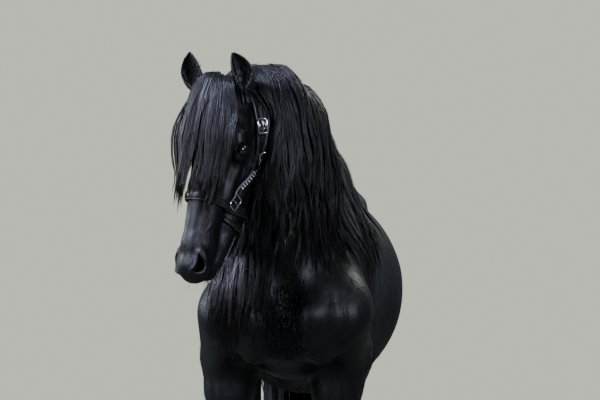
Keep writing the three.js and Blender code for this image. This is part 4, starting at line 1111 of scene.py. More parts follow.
ball_colour = add_node(tree, "ShaderNodeMix", {"data_type": "RGBA", 7: hex_colour("#100C0B")},
                       {0: to_white.outputs["Color"], 6: brown.outputs["Color"]})
to_pupil = add_node(tree, "ShaderNodeValToRGB", {"stops": [(0.72, 1.0), (0.8, 0.0)]},
                    {"Fac": pupil_far.outputs["Value"]})
eye_colour = add_node(tree, "ShaderNodeMix", {"data_type": "RGBA", 7: hex_colour("#05070B")},
                      {0: to_pupil.outputs["Color"], 6: ball_colour.outputs[2]})
wire(tree, shader, {"Base Color": eye_colour.outputs[2]})


def make_eye(side, word):
    middle, along, brow, out = eye_frame(side)
    eye, ball = new_ball(64, 48)
    eye.name = f"eyeball_{word}"
    far = np.hypot(ball[:, 0], ball[:, 1]) * EYE_RADIUS
    deep = EYE_RADIUS * ball[:, 2] + CORNEA_RISE * (1 - smooth(far, 6, IRIS)) * (ball[:, 2] > 0)
    flat = EYE_RADIUS * (ball[:, :1] * along + ball[:, 1:2] * brow)
    set_mesh_points(eye, middle + flat + deep[:, None] * out)
    behind = np.where(ball[:, 2] > 0, 1, 9)  # the back of the ball reads as white
    for label, column in (("iris_a", 0), ("iris_b", 1)):
        add_values(eye.data, label, ball[:, column] * EYE_RADIUS / IRIS * behind)
    if np.dot(np.cross(along, brow), out) < 0:
        eye.data.flip_normals()
    select_only([eye])
    bpy.ops.object.shade_smooth()
    eye.data.materials.append(eye_material)
    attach(eye, "root")
    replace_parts(eye, f"eye_{word}")


for word, side in SIDES:
    make_eye(side, word)
print("eyes:", 2 * EYE_RADIUS, "mm across")

# %% [markdown]
# A hoof is a slanting wall of horn. It grows down from the coronet by about a centimetre a month, so it
# carries fine level rings. At the back it turns in to the soft heels. Black horn is dull, with paler grey
# streaks.

# %% Hooves
HOOF_CUT, HOOF_SLOPE = 78.0, 0.25
HORN_TONES = [(0.3, "#0F0E0E"), (0.6, "#1C1A19"), (0.8, "#2A2624")]
RINGS, TUBULES = (14.0, 14.0, 260.0), (900.0, 900.0, 30.0)  # per metre: level rings and upright tubes
horn_material, tree, shader = new_material("black_hoof_horn", {"Roughness": 0.5})
place = add_node(tree, "ShaderNodeTexCoord").outputs["Object"]
growth, tubules = (
    add_node(tree, "ShaderNodeTexNoise", {"Scale": 1.0, "Detail": detail}, {
        "Vector": add_node(tree, "ShaderNodeMapping", {"Scale": scale}, {"Vector": place}).outputs[0]
    }).outputs["Fac"]
    for scale, detail in ((RINGS, 3.0), (TUBULES, 2.0))
)
horn_tone = add_node(tree, "ShaderNodeValToRGB", {"stops": HORN_TONES}, {"Fac": growth})
tubule_bump = add_node(tree, "ShaderNodeBump", {"Strength": 0.2, "Distance": 0.0004}, {"Height": tubules})
ring_bump = add_node(tree, "ShaderNodeBump", {"Strength": 0.35, "Distance": 0.0012},
                     {"Height": growth, "Normal": tubule_bump.outputs["Normal"]})
wire(tree, shader, {"Base Color": horn_tone.outputs["Color"], "Normal": ring_bump.outputs["Normal"]})


def make_hoof(name, node, x, y):
    hoof, ball = new_ball(72, 44)
    hoof.name = name
    angle = np.arctan2(ball[:, 1], ball[:, 0])
    turn = np.arccos(np.clip(ball[:, 2], -1, 1)) / np.pi
    # From the pole: the covered top, the wall from the coronet to the ground, and the sole
    top, sole = smooth(turn, 0, 0.12), 1 - smooth(turn, 0.86, 1)
    down = np.clip((turn - 0.12) / 0.74, 0, 1)
    width, length = lerp(58.5, 69, down), lerp(62, 73, down)
    shift = lerp(0, -19, down)
    heel = 1 - 0.18 * smooth(np.sin(angle), 0, 0.3)
    ripple = 0.25 * np.sin(down * 40 + 2 * np.sin(angle)) * bell(down)
    cleft = 9 * np.exp(-(((angle - np.pi / 2) / 0.16) ** 2)) * smooth(down, 0.1, 0.6)
    across = (width + ripple) * np.cos(angle) * top * lerp(0.82, 1, sole)
    along = ((length * heel + ripple) * np.sin(angle) - cleft) * top * lerp(0.82, 1, sole)
    coronet = HOOF_CUT - HOOF_SLOPE * along - 1.5
    arch = 6 * (1 - sole) * (turn > 0.86)
    z = lerp(coronet, 0.0, down) - 2.0 * (1 - top) + arch
    set_mesh_points(hoof, np.stack([x + across, y + shift + along, z], axis=1))
    select_only([hoof])
    bpy.ops.object.shade_smooth_by_angle(angle=math.radians(40))
    hoof.data.materials.append(horn_material)
    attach(hoof, "root")
    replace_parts(hoof, node)
    print(name, "made")


FEET = [
    (pair, word, side * track[side] + float(sway(y)), y)
    for word, side in SIDES
    for pair, track, y in (("fore", FORE_TRACK, FORE_COLUMN - 52), ("hind", HIND_TRACK, HIND_COLUMN - 56))
]
for pair, word, x, y in FEET:
    make_hoof(f"{pair}_horn_{word}", f"{pair}_hoof_{word}", x, y)

# %% [markdown]
# Long hair. On a real horse every hair leaves its root along the crest, is drawn down by its weight and
# comes to lie on the hair below it. Hairs of one lock stick together towards the tip and wave as one. So a
# guide is combed over the flesh for each lock, and strands are laid round the guide. A strand stands for
# some dozen real hairs, as single ones are far finer than the picture.

# %% Curves
def along_paths(paths, t):
    """Points at shares t of many curves at once. Each curve runs smoothly through its own points."""
    last = paths.shape[1] - 1
    place = np.clip(t, 0, 1) * last
    i = np.minimum(place.astype(int), last - 1)
    f = (place - i)[..., None]
    rows = np.arange(len(paths))[:, None]
    p1, p2 = paths[rows, i], paths[rows, i + 1]
    p0 = np.where((i > 0)[..., None], paths[rows, np.maximum(i - 1, 0)], 2 * p1 - p2)
    p3 = np.where((i + 2 <= last)[..., None], paths[rows, np.minimum(i + 2, last)], 2 * p2 - p1)
    bend, twist = 2 * p0 - 5 * p1 + 4 * p2 - p3, 3 * p1 - p0 - 3 * p2 + p3
    return 0.5 * (2 * p1 + (p2 - p0) * f + bend * f**2 + twist * f**3)


def surface_along(field, start, direction, level=0.0):
    """Where rays from inside the flesh come out of it."""
    run = np.zeros(len(start))
    for _ in range(16):
        run += np.clip((level - field(start + run[:, None] * direction)) * 0.8, -40, 40)
    return start + run[:, None] * direction


def all_flesh(points):
    return np.minimum(head_distance(points), body_distance(points))


def lock_places(locks):
    """For each lock its share of the line of roots, and its layer, from 0 for the lowest to 1."""
    share = (np.arange(locks) + rng.random(locks)) / locks
    return share, rng.permutation(locks) / locks


def run_along(line):
    """The length run at each point of a line."""
    return np.concatenate([[0], np.cumsum(np.linalg.norm(np.diff(line, axis=0), axis=1))])


def combed(field, roots, starts, lengths, lift, pull, hold=0.45, cling=0.6, steps=15):
    """Guides that leave their roots, fall along the pull and lie on the flesh at their lift."""
    guide = [roots]
    direction, last = unit(starts), roots
    for k in range(1, steps + 1):
        t = k / steps
        here = last + direction * (lengths / steps)[:, None]
        depth, normal = slope(field, here)
        short = lift(t) - depth
        drawn = cling * np.maximum(short, -50) if t < 0.8 else 0.0
        here = here + normal * np.where(short > 0, np.minimum(short, 60), drawn)[:, None]
        direction = unit(unit(here - last) * hold + pull * (1 - hold))
        guide.append(here)
        last = here
    return np.stack(guide, axis=1)

# %% The crest of the neck
CREST_STEPS = 60
station_points = np.array([s[0] for s in NECK], float)[None]
station_lefts = np.array([turned(s[3]) for s in NECK])
crest_t = np.linspace(0, 1, CREST_STEPS)
crest_line = along_paths(station_points, crest_t[None])[0]
crest_run = unit(np.gradient(crest_line, axis=0))
crest_left = np.stack([np.interp(crest_t * 5, np.arange(6), row) for row in station_lefts.T], axis=1)
crest_up = unit(np.cross(crest_left, crest_run))
crest_up *= np.sign(crest_up[:, 2:])
crest_out = unit(np.cross(crest_run, crest_up))
crest_out *= np.sign(np.sum(crest_out * crest_left, axis=1, keepdims=True))
crest_top = surface_along(body_distance, crest_line, crest_up)


def on_crest(table, t):
    return np.stack([np.interp(t, crest_t, table[:, k]) for k in range(3)], axis=-1)


print("crest from", crest_top[0].round(), "to", crest_top[-1].round())

# %% [markdown]
# The map of the skin. Each limb is a line with a girth. A place on the skin belongs to the limb it lies
# nearest to, and its place on the map is the angle round that limb and the distance along it. The limbs
# have their tiles side by side, four in a row.

# %% Map of the skin
HEAD_LINE = [on_head(0, 20, 90), on_head(0, 300, 80), on_head(0, 600, 60)]
TILE = (0.04, 0.96)  # the part of a tile that is used
LIMBS = [
    (HEAD_LINE, 90),
    ([s[0] for s in NECK], 180),
    ([(0, 100, 1150), (15, 800, 1200), (-50, 1600, 1300)], 300),
    ([(-50, 1560, 1420), (-50, 1674, 1325), (-50, 1705, 820), (-50, 1708, 200)], 90),
]
for side in (1, -1):
    LIMBS.append(([(side * FORE_TRACK[side], 320, 950), (side * FORE_TRACK[side], 300, 40)], 90))
    LIMBS.append(([(side * HIND_TRACK[side] - 50, 1350, 950), (side * HIND_TRACK[side] - 50, 1460, 40)], 100))


def skin_map(points):
    best = np.full(len(points), 1e9)
    found = np.zeros((len(points), 2))
    for k, (line, girth) in enumerate(LIMBS):
        line = np.asarray(line, float)
        run = run_along(line)
        for a, b, low, high in zip(line, line[1:], run, run[1:]):
            axis = unit(b - a)
            t = np.clip((points - a) @ axis / (high - low), 0, 1)
            off = points - a - t[:, None] * (b - a)
            gap = np.linalg.norm(off, axis=1) / girth
            left = unit(LEFT - (LEFT @ axis) * axis)
            angle = np.arctan2(off @ np.cross(axis, left), off @ left) / (2 * np.pi) + 0.5
            down = lerp(low, high, t) / run[-1]
            place = np.stack([(k % 4 + lerp(*TILE, angle)) / 4, (k // 4 + lerp(*TILE, down)) / 2], axis=1)
            nearer = gap < best
            best[nearer], found[nearer] = gap[nearer], place[nearer]
    return found

# %% [markdown]
# A strand is a thin three-sided blade with a ridge, so that light runs along it. All strands of a piece are
# joined in one mesh. Each has its own small patch on the map of the skin, at its root.

# %% Build strands
PATCH = 0.003  # of the map's width


def blade_faces(rings):
    """Corners of one blade's faces, their counts, and which of them are smooth."""
    quads = [
        (3 * r + s, 3 * r + (s + 1) % 3, 3 * r + 3 + (s + 1) % 3, 3 * r + 3 + s)
        for r in range(rings - 2) for s in range(3)
    ]
    last = 3 * (rings - 2)
    tris = [(0, 2, 1)] + [(last + s, last + (s + 1) % 3, last + 3) for s in range(3)]
    corners = np.array([c for face in quads + tris for c in face])
    # The underside and the cut root stay flat, so that the upper faces keep the normals of a rounded blade
    upper = [s > 0 for _ in range(rings - 2) for s in range(3)] + [False] + [s > 0 for s in range(3)]
    return corners, np.array([4] * len(quads) + [3] * len(tris)), np.array(upper)


def bake_map(roots, share, loops):
    """The UV map: each blade's small patch, at the place of its root on the map of the skin."""
    place = skin_map(roots)
    low, high = place.min(axis=0), place.max(axis=0)
    place = lerp(0.01, 0.99, (place - low) / np.maximum(high - low, 1e-6))
    spin = np.append(np.tile([0.0, 0.5, 1.0], len(share) // 3), 0.5) - 0.5
    patch = np.stack([spin, share - 0.5], axis=1) * PATCH
    return (place[:, None] + patch[None]).reshape(-1, 2)[loops].astype(np.float32).ravel()

# %% Join strands in one mesh
def strand_mesh(name, lines, widths, up, tones, material=None, depth=0.45):
    """lines: strands x rings x 3, widths: strands x rings, up: strands x rings x 3."""
    count, rings, _ = lines.shape
    along = unit(np.gradient(lines, axis=1))
    across = unit(np.cross(along, up))
    flat = np.cross(across, along)
    w, h = widths[..., None] / 2, widths[..., None] * depth
    under = lines - flat * h / 3
    body = np.stack([under + across * w, under - across * w, lines + flat * h * 2 / 3], axis=2)
    body = body[:, :-1].reshape(count, -1, 3)
    points = np.concatenate([body, lines[:, -1:]], axis=1)
    size = points.shape[1]
    corners, totals, upper = blade_faces(rings)
    loops = (corners[None] + np.arange(count)[:, None] * size).ravel()
    totals = np.tile(totals, count)
    mesh = bpy.data.meshes.new(name)
    mesh.vertices.add(count * size)
    mesh.vertices.foreach_set("co", to_model(points.reshape(-1, 3)).ravel())
    mesh.loops.add(len(loops))
    mesh.loops.foreach_set("vertex_index", loops)
    mesh.polygons.add(len(totals))
    mesh.polygons.foreach_set("loop_start", np.concatenate([[0], np.cumsum(totals)[:-1]]))
    mesh.polygons.foreach_set("use_smooth", np.tile(upper, count))
    mesh.update(calc_edges=True)
    mesh.validate()
    share = np.concatenate([np.repeat(np.linspace(0, 1, rings)[:-1], 3), [1.0]])
    add_values(mesh, "strand_tone", np.repeat(tones, size))
    add_values(mesh, "strand_along", np.tile(share, count))
    layer = mesh.uv_layers.new(name="OFBake")
    layer.uv.foreach_set("vector", bake_map(lines[:, 0], share, loops))
    obj = bpy.data.objects.new(name, mesh)
    bpy.context.collection.objects.link(obj)
    mesh.materials.append(material or hair_material)
    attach(obj, "root")
    print(name, "strands:", count, "triangles:", int((totals - 2).sum()))
    return obj

# %% Lay strands in locks
STRAND_RINGS = 14
ring_t = np.linspace(0, 1, STRAND_RINGS)


def strands_in_locks(locks, strands, *, across_half, deep_half, clump, wave, waves, own_wave, short=0.3):
    """Lays strands round each lock's guide. Returns their lines, their way up and the lock of each."""
    count = len(locks)
    lock_of = np.repeat(np.arange(count), strands)
    total = count * strands
    reach = 1 - short * rng.random(total) ** 2.2
    t = ring_t[None] * reach[:, None]
    centre = along_paths(locks, np.broadcast_to(ring_t, (count, STRAND_RINGS)))
    middle = along_paths(locks[lock_of], t)
    ahead = np.minimum(t + 0.02, 1)
    step = unit(along_paths(locks[lock_of], ahead) - along_paths(locks[lock_of], ahead - 0.04))
    _, normal = slope(all_flesh, centre.reshape(-1, 3), 8)
    normal = along_paths(normal.reshape(count, STRAND_RINGS, 3)[lock_of], t)
    across = unit(np.cross(step, normal))
    flat = unit(np.cross(across, step))
    angle, radius = rng.random(total) * 2 * np.pi, np.sqrt(rng.random(total))
    a, b = radius * np.cos(angle), radius * np.sin(angle)
    fan = 1 - clump * t**1.4
    swing = np.sin(np.cumsum(rng.normal(0, 0.35, count))[lock_of][:, None] + 2 * np.pi * waves * t**0.9)
    own = np.sin(rng.random((total, 1)) * 6.3 + 2 * np.pi * (waves * 1.9 + rng.random((total, 1))) * t)
    stray = np.where(rng.random(total) < 0.05, 2.4, 1.0)[:, None]
    grow = np.minimum(4 * t, 1)
    side = a[:, None] * across_half * fan * stray + wave * swing * t**1.2 + own_wave * own * t * stray
    rise = (b[:, None] * deep_half * fan * stray + 0.4 * own_wave * own * t) * lerp(0.3, 1, grow)
    lines = middle + across * side[..., None] + flat * rise[..., None]
    return lines, flat, lock_of


def clear_of_flesh(lines, level, rounds=2):
    """Pushes strands out of the flesh, to at least the level, beyond their roots."""
    flat = lines.reshape(-1, 3)
    least = np.broadcast_to(np.where(ring_t < 0.03, -6.0, level)[None], lines.shape[:2]).ravel()
    for _ in range(rounds):
        depth, normal = slope(all_flesh, flat)
        short = least - depth
        flat = flat + normal * np.where(short > 0, np.minimum(short, 40), 0)[:, None]
    return flat.reshape(lines.shape)


def strand_widths(count, widest, tip=0.25):
    shape = np.interp(ring_t, [0, 0.1, 0.55, 1], [0.7, 1, 0.95, tip])
    return widest * shape[None] * rng.uniform(0.65, 1.25, (count, 1))

# %% [markdown]
# Long black hair is smoother than the short coat and shines more. The tips are older, split and bleached by
# the sun, so they turn brown and pale. Each strand has its own tone and knows how far along it a point is.

# %% Black horse hair
HAIR_SCALES = 500.0  # per metre: the roughness of a hair, drawn 2 mm long
ROOT_TONES = [(0.0, "#050507"), (0.5, "#0A0A0E"), (0.8, "#14131A"), (1.0, "#2B2727")]
TIP_TONES = [(0.0, "#0A0808"), (0.5, "#15110F"), (0.8, "#2A211D"), (1.0, "#4A3F38")]
hair_material, tree, shader = new_material("black_horse_hair", {"Specular IOR Level": 0.4})
tone, share = (
    add_node(tree, "ShaderNodeAttribute", {"attribute_name": label}).outputs["Fac"]
    for label in ("strand_tone", "strand_along")
)
place = add_node(tree, "ShaderNodeTexCoord").outputs["Object"]
scales = add_node(tree, "ShaderNodeTexNoise", {"Scale": HAIR_SCALES, "Detail": 2.0}, {"Vector": place})
root_colour = add_node(tree, "ShaderNodeValToRGB", {"stops": ROOT_TONES}, {"Fac": tone})
tip_colour = add_node(tree, "ShaderNodeValToRGB", {"stops": TIP_TONES}, {"Fac": tone})
to_tip = add_node(tree, "ShaderNodeValToRGB", {"stops": [(0.55, 0.0), (1.0, 1.0)]}, {"Fac": share})
hair_colour = add_node(tree, "ShaderNodeMix", {"data_type": "RGBA"}, {
    0: to_tip.outputs["Color"], 6: root_colour.outputs["Color"], 7: tip_colour.outputs["Color"]
})
hair_gloss = add_node(tree, "ShaderNodeValToRGB", {"stops": [(0.2, 0.48), (0.8, 0.32)]}, {"Fac": tone})
scale_bump = add_node(tree, "ShaderNodeBump", {"Strength": 0.2, "Distance": 0.0003},
                      {"Height": scales.outputs["Fac"]})
wire(tree, shader, {
    "Base Color": hair_colour.outputs[2], "Roughness": hair_gloss.outputs["Color"],
    "Normal": scale_bump.outputs["Normal"],
})

# %% [markdown]
# The mane falls on both sides of the neck, as thick hair does when it is brushed out. On the left it comes
# down in long waves to the shoulder. On the right it hangs in thinner locks, and part of it is swept
# forward over the breast.

# %% Mane
CREST_REACH = (0.02, 0.95)  # the part of the crest that bears the mane
LEFT_LENGTHS = [430, 610, 640, 520]  # from the withers to the poll
RIGHT_LENGTHS = [560, 700, 620, 420]
LEFT_LOCKS, RIGHT_LOCKS, BREAST_LOCKS = 190, 54, 52
GUIDE_STEPS = np.linspace(0, 1, 16)
CHEEK_FREE = 178.0  # behind this line on the head the mane is free of the cheek and the halter's rings


def off_the_cheek(lines):
    """Strands beside the head are drawn back, as a rider lays them behind the cheek strap."""
    flat = lines.reshape(-1, 3)
    across, along, back = in_head(flat).T
    beside = smooth(along, 0, 80) * (1 - smooth(along, 320, 440)) * (across > 0)
    short = np.maximum(CHEEK_FREE - back, 0) * beside
    return (flat + short[:, None] * head_back).reshape(lines.shape)


def hair_tones(lock_of):
    """Each lock has its tone, and each strand a little of its own. A few strands are pale."""
    tones = rng.normal(0.45, 0.16, lock_of.max() + 1)[lock_of] + rng.normal(0, 0.12, len(lock_of))
    tones += 0.35 * (rng.random(len(lock_of)) < 0.05)
    return np.clip(tones, 0, 1)


def in_two(name, node, lines, flat, tones, widest):
    half = len(lines) // 2
    for part, pick in (("a", slice(0, half)), ("b", slice(half, None))):
        widths = strand_widths(len(lines[pick]), widest)
        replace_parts(strand_mesh(f"{name}_{part}", lines[pick], widths, flat[pick], tones[pick]), node)


def crest_guides(side, lengths, locks):
    share, layer = lock_places(locks)
    place = lerp(*CREST_REACH, share)
    across, top, up = (on_crest(table, place) for table in (crest_out, crest_top, crest_up))
    outward = across * side
    length = np.interp(share * 3, np.arange(4), lengths) * rng.uniform(0.78, 1.1, locks)
    height = 4 + 26 * layer
    roots = top + outward * (1 + 9 * layer)[:, None] - up * 2
    pull = unit(np.stack([rng.normal(0, 0.07, locks), rng.normal(0, 0.07, locks), -np.ones(locks)], axis=1))

    def lift(t):
        return lerp(6, height, min(5 * t, 1)) + 6 * t

    return combed(all_flesh, roots, outward - 0.12 * UP, length, lift, pull)

# %% Left side of the mane
guides = crest_guides(1, LEFT_LENGTHS, LEFT_LOCKS)
lines, flat, lock_of = strands_in_locks(
    guides, 24, across_half=13, deep_half=5, clump=0.78, wave=14, waves=3.1, own_wave=3.6
)
lines = clear_of_flesh(off_the_cheek(lines), 2.0)
in_two("mane_left", "neck", lines, flat, hair_tones(lock_of), 3.2)

# %% Right side of the mane
def from_front(x, z, lift):
    """The place on the body that is first met on the way in from the front."""
    at = np.stack([x, np.full(len(x), -420.0), z], axis=1)
    for _ in range(40):
        at[:, 1] += np.clip((body_distance(at) - lift) * 0.7, -20, 40)
    return at


# Where the swept hair passes: its height, and its reach from right to left
BREAST_FALL = [(1400, -152, -58), (1290, -196, -48), (1170, -222, -40), (1010, -236, -30)]


def resampled(points):
    """Sixteen even places along each of the paths."""
    paths = np.stack(points, axis=1)
    return along_paths(paths, np.broadcast_to(GUIDE_STEPS, (len(paths), len(GUIDE_STEPS))))


def breast_guides(locks):
    share, layer = lock_places(locks)
    place = lerp(0.5, 0.9, rng.permutation(locks) / locks)
    top, across = on_crest(crest_top, place), on_crest(crest_out, place)
    hang = top - across * 60 - 150 * UP
    depth, normal = slope(all_flesh, hang)
    hang = hang + normal * (14 - depth)[:, None]
    fall = rng.uniform(0.72, 1.12, locks)
    points = [top - across * 5, hang]
    for z, low, high in BREAST_FALL:
        drop = 1400 - (1400 - z) * fall
        points.append(from_front(lerp(low, high, share) + rng.normal(0, 7, locks), drop, 8 + 26 * layer))
    return resampled(points)


guides = crest_guides(-1, RIGHT_LENGTHS, RIGHT_LOCKS)
behind = strands_in_locks(
    guides, 28, across_half=15, deep_half=5, clump=0.74, wave=9, waves=2.2, own_wave=3.0
)
guides = breast_guides(BREAST_LOCKS)
swept = strands_in_locks(
    guides, 28, across_half=13, deep_half=5, clump=0.8, wave=9, waves=2.6, own_wave=3.4, short=0.42
)
lines, flat = (np.concatenate([a, b]) for a, b in zip(behind[:2], swept[:2]))
lock_of = np.concatenate([behind[2], swept[2] + behind[2].max() + 1])
in_two("mane_right", "neck", clear_of_flesh(lines, 2.0), flat, hair_tones(lock_of), 3.0)

# %% [markdown]
# The forelock falls from between the ears over the whole forehead and one eye. It is thickest at the top
# and ends in thin, brown wisps on the noseband.

# %% Forelock
FORELOCK_REACH = (-110.0, 100.0)
# Along the head, share of the reach on its right and on its left, and height over the head
FORELOCK_PATH = [
    (-14, 0.2, 0.2, 2), (8, 0.42, 0.5, 15), (62, 0.68, 0.8, 15), (125, 0.88, 0.95, 15),
    (200, 1.0, 1.0, 17), (280, 0.96, 0.98, 20), (350, 0.84, 0.8, 22), (420, 0.7, 0.62, 24),
]


def forelock(locks, strands):
    s, layer = lock_places(locks)
    reach = lerp(*FORELOCK_REACH, s)
    # Shorter towards both edges, and never as long as each other
    short = rng.uniform(0.8, 1.0, locks) * (1 - 0.12 * np.abs(2 * s - 1.1) ** 2)
    points = []
    for k, (t, right, left, lift) in enumerate(FORELOCK_PATH):
        along = t * (short if k > 2 else np.ones(locks))
        p = on_head((reach * np.where(reach < 0, right, left))[:, None], along[:, None], 34)
        off = lift - 11 + 24 * layer * min(k, 1) + (16 * np.maximum(-reach - 70, 0) / 42 if k > 2 else 0)
        for _ in range(4):
            depth, normal = slope(head_distance, p)
            p = p + normal * (off - depth)[:, None]
        points.append(p)
    lines, flat, lock_of = strands_in_locks(
        resampled(points), strands,
        across_half=12, deep_half=4, clump=0.74, wave=5, waves=1.5, own_wave=2.6, short=0.4,
    )
    lines = clear_of_flesh(lines, 2.0)
    obj = strand_mesh("forelock", lines, strand_widths(len(lines), 2.8), flat, hair_tones(lock_of))
    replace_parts(obj, "head")


forelock(locks=76, strands=32)

# %% [markdown]
# The tail. On the animal its hair grows all round the fleshy dock and hangs to the fetlocks, fullest at
# half its height. The hair hides the dock, so only the hair is made, along the dock's line.

# %% Tail
TAIL_X = float(sway(1640))
TAIL_TIP = 165.0
DOCK_END = (1688.0, 1120.0)  # y and z, where the hair leaves the dock and hangs free
DOCK_LINE = np.array([[
    (TAIL_X, y, z) for y, z in ((1552, 1425), (1622, 1408), (1674, 1325), DOCK_END, (1702, 845))
]])


def tail(locks, strands):
    share, layer = lock_places(locks)
    angle = np.radians(lerp(-168, 168, share))
    front = np.maximum(np.abs(angle) - np.pi / 2, 0)
    start = lerp(0.62 - 0.54 * layer, 0.3, 0.0) + 0.25 * front
    low = along_paths(DOCK_LINE, start[None])[0]
    tip = TAIL_TIP + 190 * rng.random(locks) ** 1.5 + 40 * (1 - layer)
    steps = GUIDE_STEPS[None]
    end_y, end_z = DOCK_END
    z = lerp(low[:, 2:], tip[:, None], steps)
    fall = np.clip((low[:, 2:] - z) / np.maximum(low[:, 2:] - end_z, 1), 0, 1)
    y = np.where(z > end_z, lerp(low[:, 1:2], end_y, fall), lerp(end_y, end_y + 20, (end_z - z) / 900))
    x = np.where(z > end_z, lerp(low[:, :1], TAIL_X, fall), TAIL_X)
    grow = np.minimum(3 * steps, 1)
    around = 20 + (20 + 28 * layer[:, None]) * bell(0.08 + 0.8 * steps) + 34 * layer[:, None] * grow
    swing = angle[:, None] * (1 - 0.12 * steps)
    guides = np.stack([x + 1.12 * around * np.sin(swing), y + 0.86 * around * np.cos(swing), z], axis=2)
    lines, flat, lock_of = strands_in_locks(
        guides, strands, across_half=15, deep_half=7, clump=0.6, wave=9, waves=3.2, own_wave=4.0
    )
    in_two("tail_hair", "tail", lines, flat, hair_tones(lock_of), 4.2)


tail(locks=120, strands=30)

# %% [markdown]
# The feathers are the long hair of the lower legs, fullest at the back. They start above the fetlock, lie
# close at first, and spread over the hoof.

# %% Feathers
def feather(name, node, x, y, locks, strands):
    share, layer = lock_places(locks)
    angle = np.radians(lerp(-174, 174, share))
    out = np.cos(angle)[:, None] * BACK + np.sin(angle)[:, None] * LEFT
    behind = (1 + np.cos(angle)) / 2
    height = lerp(190, 335, behind * rng.uniform(0.55, 1.0, locks))
    tip = lerp(62, 10, behind) + lerp(20, 70, behind) * rng.random(locks) * (1 - layer)
    start = np.stack([np.full(locks, x), np.full(locks, y), height], axis=1)
    roots = surface_along(body_distance, start, out)
    near = np.linalg.norm(roots - start, axis=1)
    far = lerp(90, 87, behind) + 4 * layer
    steps = np.linspace(0, 1, 8)
    down = lerp(height[:, None], tip[:, None], steps[None])
    middle = np.stack([np.full_like(down, x), y - 34 * np.broadcast_to(steps, down.shape), down], axis=2)
    close = near[:, None] - 7 + (10 + 6 * layer[:, None]) * np.minimum(5 * steps, 1)
    off = lerp(close, far[:, None], steps[None] ** 1.2)
    guides = middle + out[:, None] * off[..., None]
    lines, flat, lock_of = strands_in_locks(
        guides, strands, across_half=9, deep_half=4, clump=0.7, wave=4, waves=1.2, own_wave=2.2
    )
    obj = strand_mesh(name, lines, strand_widths(len(lines), 2.8), flat, hair_tones(lock_of))
    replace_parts(obj, node)


for pair, word, x, y in FEET:
    leg = {"fore": "foreleg_", "hind": "hind_leg_"}[pair] + word
    feather(f"{pair}_feather_{word}", leg, x, y + 44, locks=36, strands=16)

# %% [markdown]
# The halter. A strap of harness leather is cut flat, doubled, padded and stitched along both edges, and it
# follows the head wherever it goes. So each strap is a row of ribs: every rib is found on the head, and the
# same cross-section is laid on it.

# %% Straps
harness_rods = head_rods + [head_rod((0, 190, 196), (0, 420, 156), (50, 76), (34, 36), 20)]
LEATHER_LOW = 0.6  # the strap lies in the short hair


def harness_distance(points):
    return flesh(harness_rods, points)


def harness_or_neck(points):
    return np.minimum(harness_distance(points), body_distance(points))


NOSE = 362.0
NOSE_RING, CHEEK_RING, BUCKLE = (NOSE - 14, 126), (200, 184), (112, 150)


def nose_ribs(count):
    angle = 2 * np.pi * np.arange(count) / count
    start = on_head(0, (NOSE + 10 * np.sin(angle))[:, None], (90 - 20 * np.sin(angle))[:, None])
    return start, np.cos(angle)[:, None] * head_left + np.sin(angle)[:, None] * head_back


def chin_ribs(count):
    angle = np.radians(np.linspace(14, 166, count))
    drop = np.sin(angle)[:, None]
    return on_head(0, NOSE + 24 + 42 * drop, 96), np.cos(angle)[:, None] * head_left + drop * head_back


def cheek_ribs(count, side):
    path = np.array([[CHEEK_RING, (262, 160), (312, 134), NOSE_RING]], float)
    place = along_paths(path, np.linspace(0, 1, count)[None])[0]
    return on_head(side * 46, place[:, :1], place[:, 1:]), np.tile(side * head_left, (count, 1))


def crown_ribs(count):
    angle = np.linspace(-0.3, np.pi + 0.3, count)
    down = np.maximum(1 - np.sin(angle), 0)[:, None]
    start = on_head(0, lerp(55, 146, down), lerp(98, 156, down))
    return start, np.cos(angle)[:, None] * head_left - np.sin(angle)[:, None] * head_down


def run_of(line, closed):
    """The direction of a line at each of its points."""
    if closed:
        return unit(np.roll(line, -1, axis=0) - np.roll(line, 1, axis=0))
    return unit(np.gradient(line, axis=0))

# %% Ribs and sections of a strap
class Strap:
    """Stations along a strap: the middle of its back, its run, its breadth and its outward direction."""

    def __init__(self, field, ribs, width, closed=False):
        start, out = ribs
        out = unit(out)
        self.place = surface_along(field, start, out, LEATHER_LOW)
        self.run = run_of(self.place, closed)
        self.side = unit(np.cross(self.run, out))
        self.out = np.cross(self.side, self.run)
        self.width, self.closed = width, closed

    def lay(self, section):
        """Points of a cross-section, given as (across, height) pairs, at every station."""
        section = np.asarray(section, float)
        across, height = section[None, :, :1], section[None, :, 1:]
        return self.place[:, None] + across * self.side[:, None] + height * self.out[:, None]

    def spaced(self, gap):
        """Even places along the strap: point, run, side and out."""
        place, rest = self.place, (self.run, self.side, self.out)
        if self.closed:
            place = np.concatenate([place, place[:1]])
            rest = tuple(np.concatenate([r, r[:1]]) for r in rest)
        length = run_along(place)
        at = np.arange(gap / 2, length[-1], gap)
        table = [np.stack([np.interp(at, length, column) for column in r.T], axis=1) for r in (place, *rest)]
        return table[0], *(unit(r) for r in table[1:])


def strap_section(width, thick):
    """Half-round edges, a stitched margin and a padded middle."""
    w, m = width / 2, width / 2 - 3.2
    return [
        (-w + 0.6, 0), (0, -0.2), (w - 0.6, 0), (w, 0.7), (w, 1.7), (w - 0.6, 2.4),
        (m + 0.5, 2.5), (m, 2.2), (m - 1.2, 0.72 * thick), (0.4 * m, thick),
        (-0.4 * m, thick), (-m + 1.2, 0.72 * thick), (-m, 2.2), (-m - 0.5, 2.5),
        (-w + 0.6, 2.4), (-w, 1.7), (-w, 0.7),
    ]

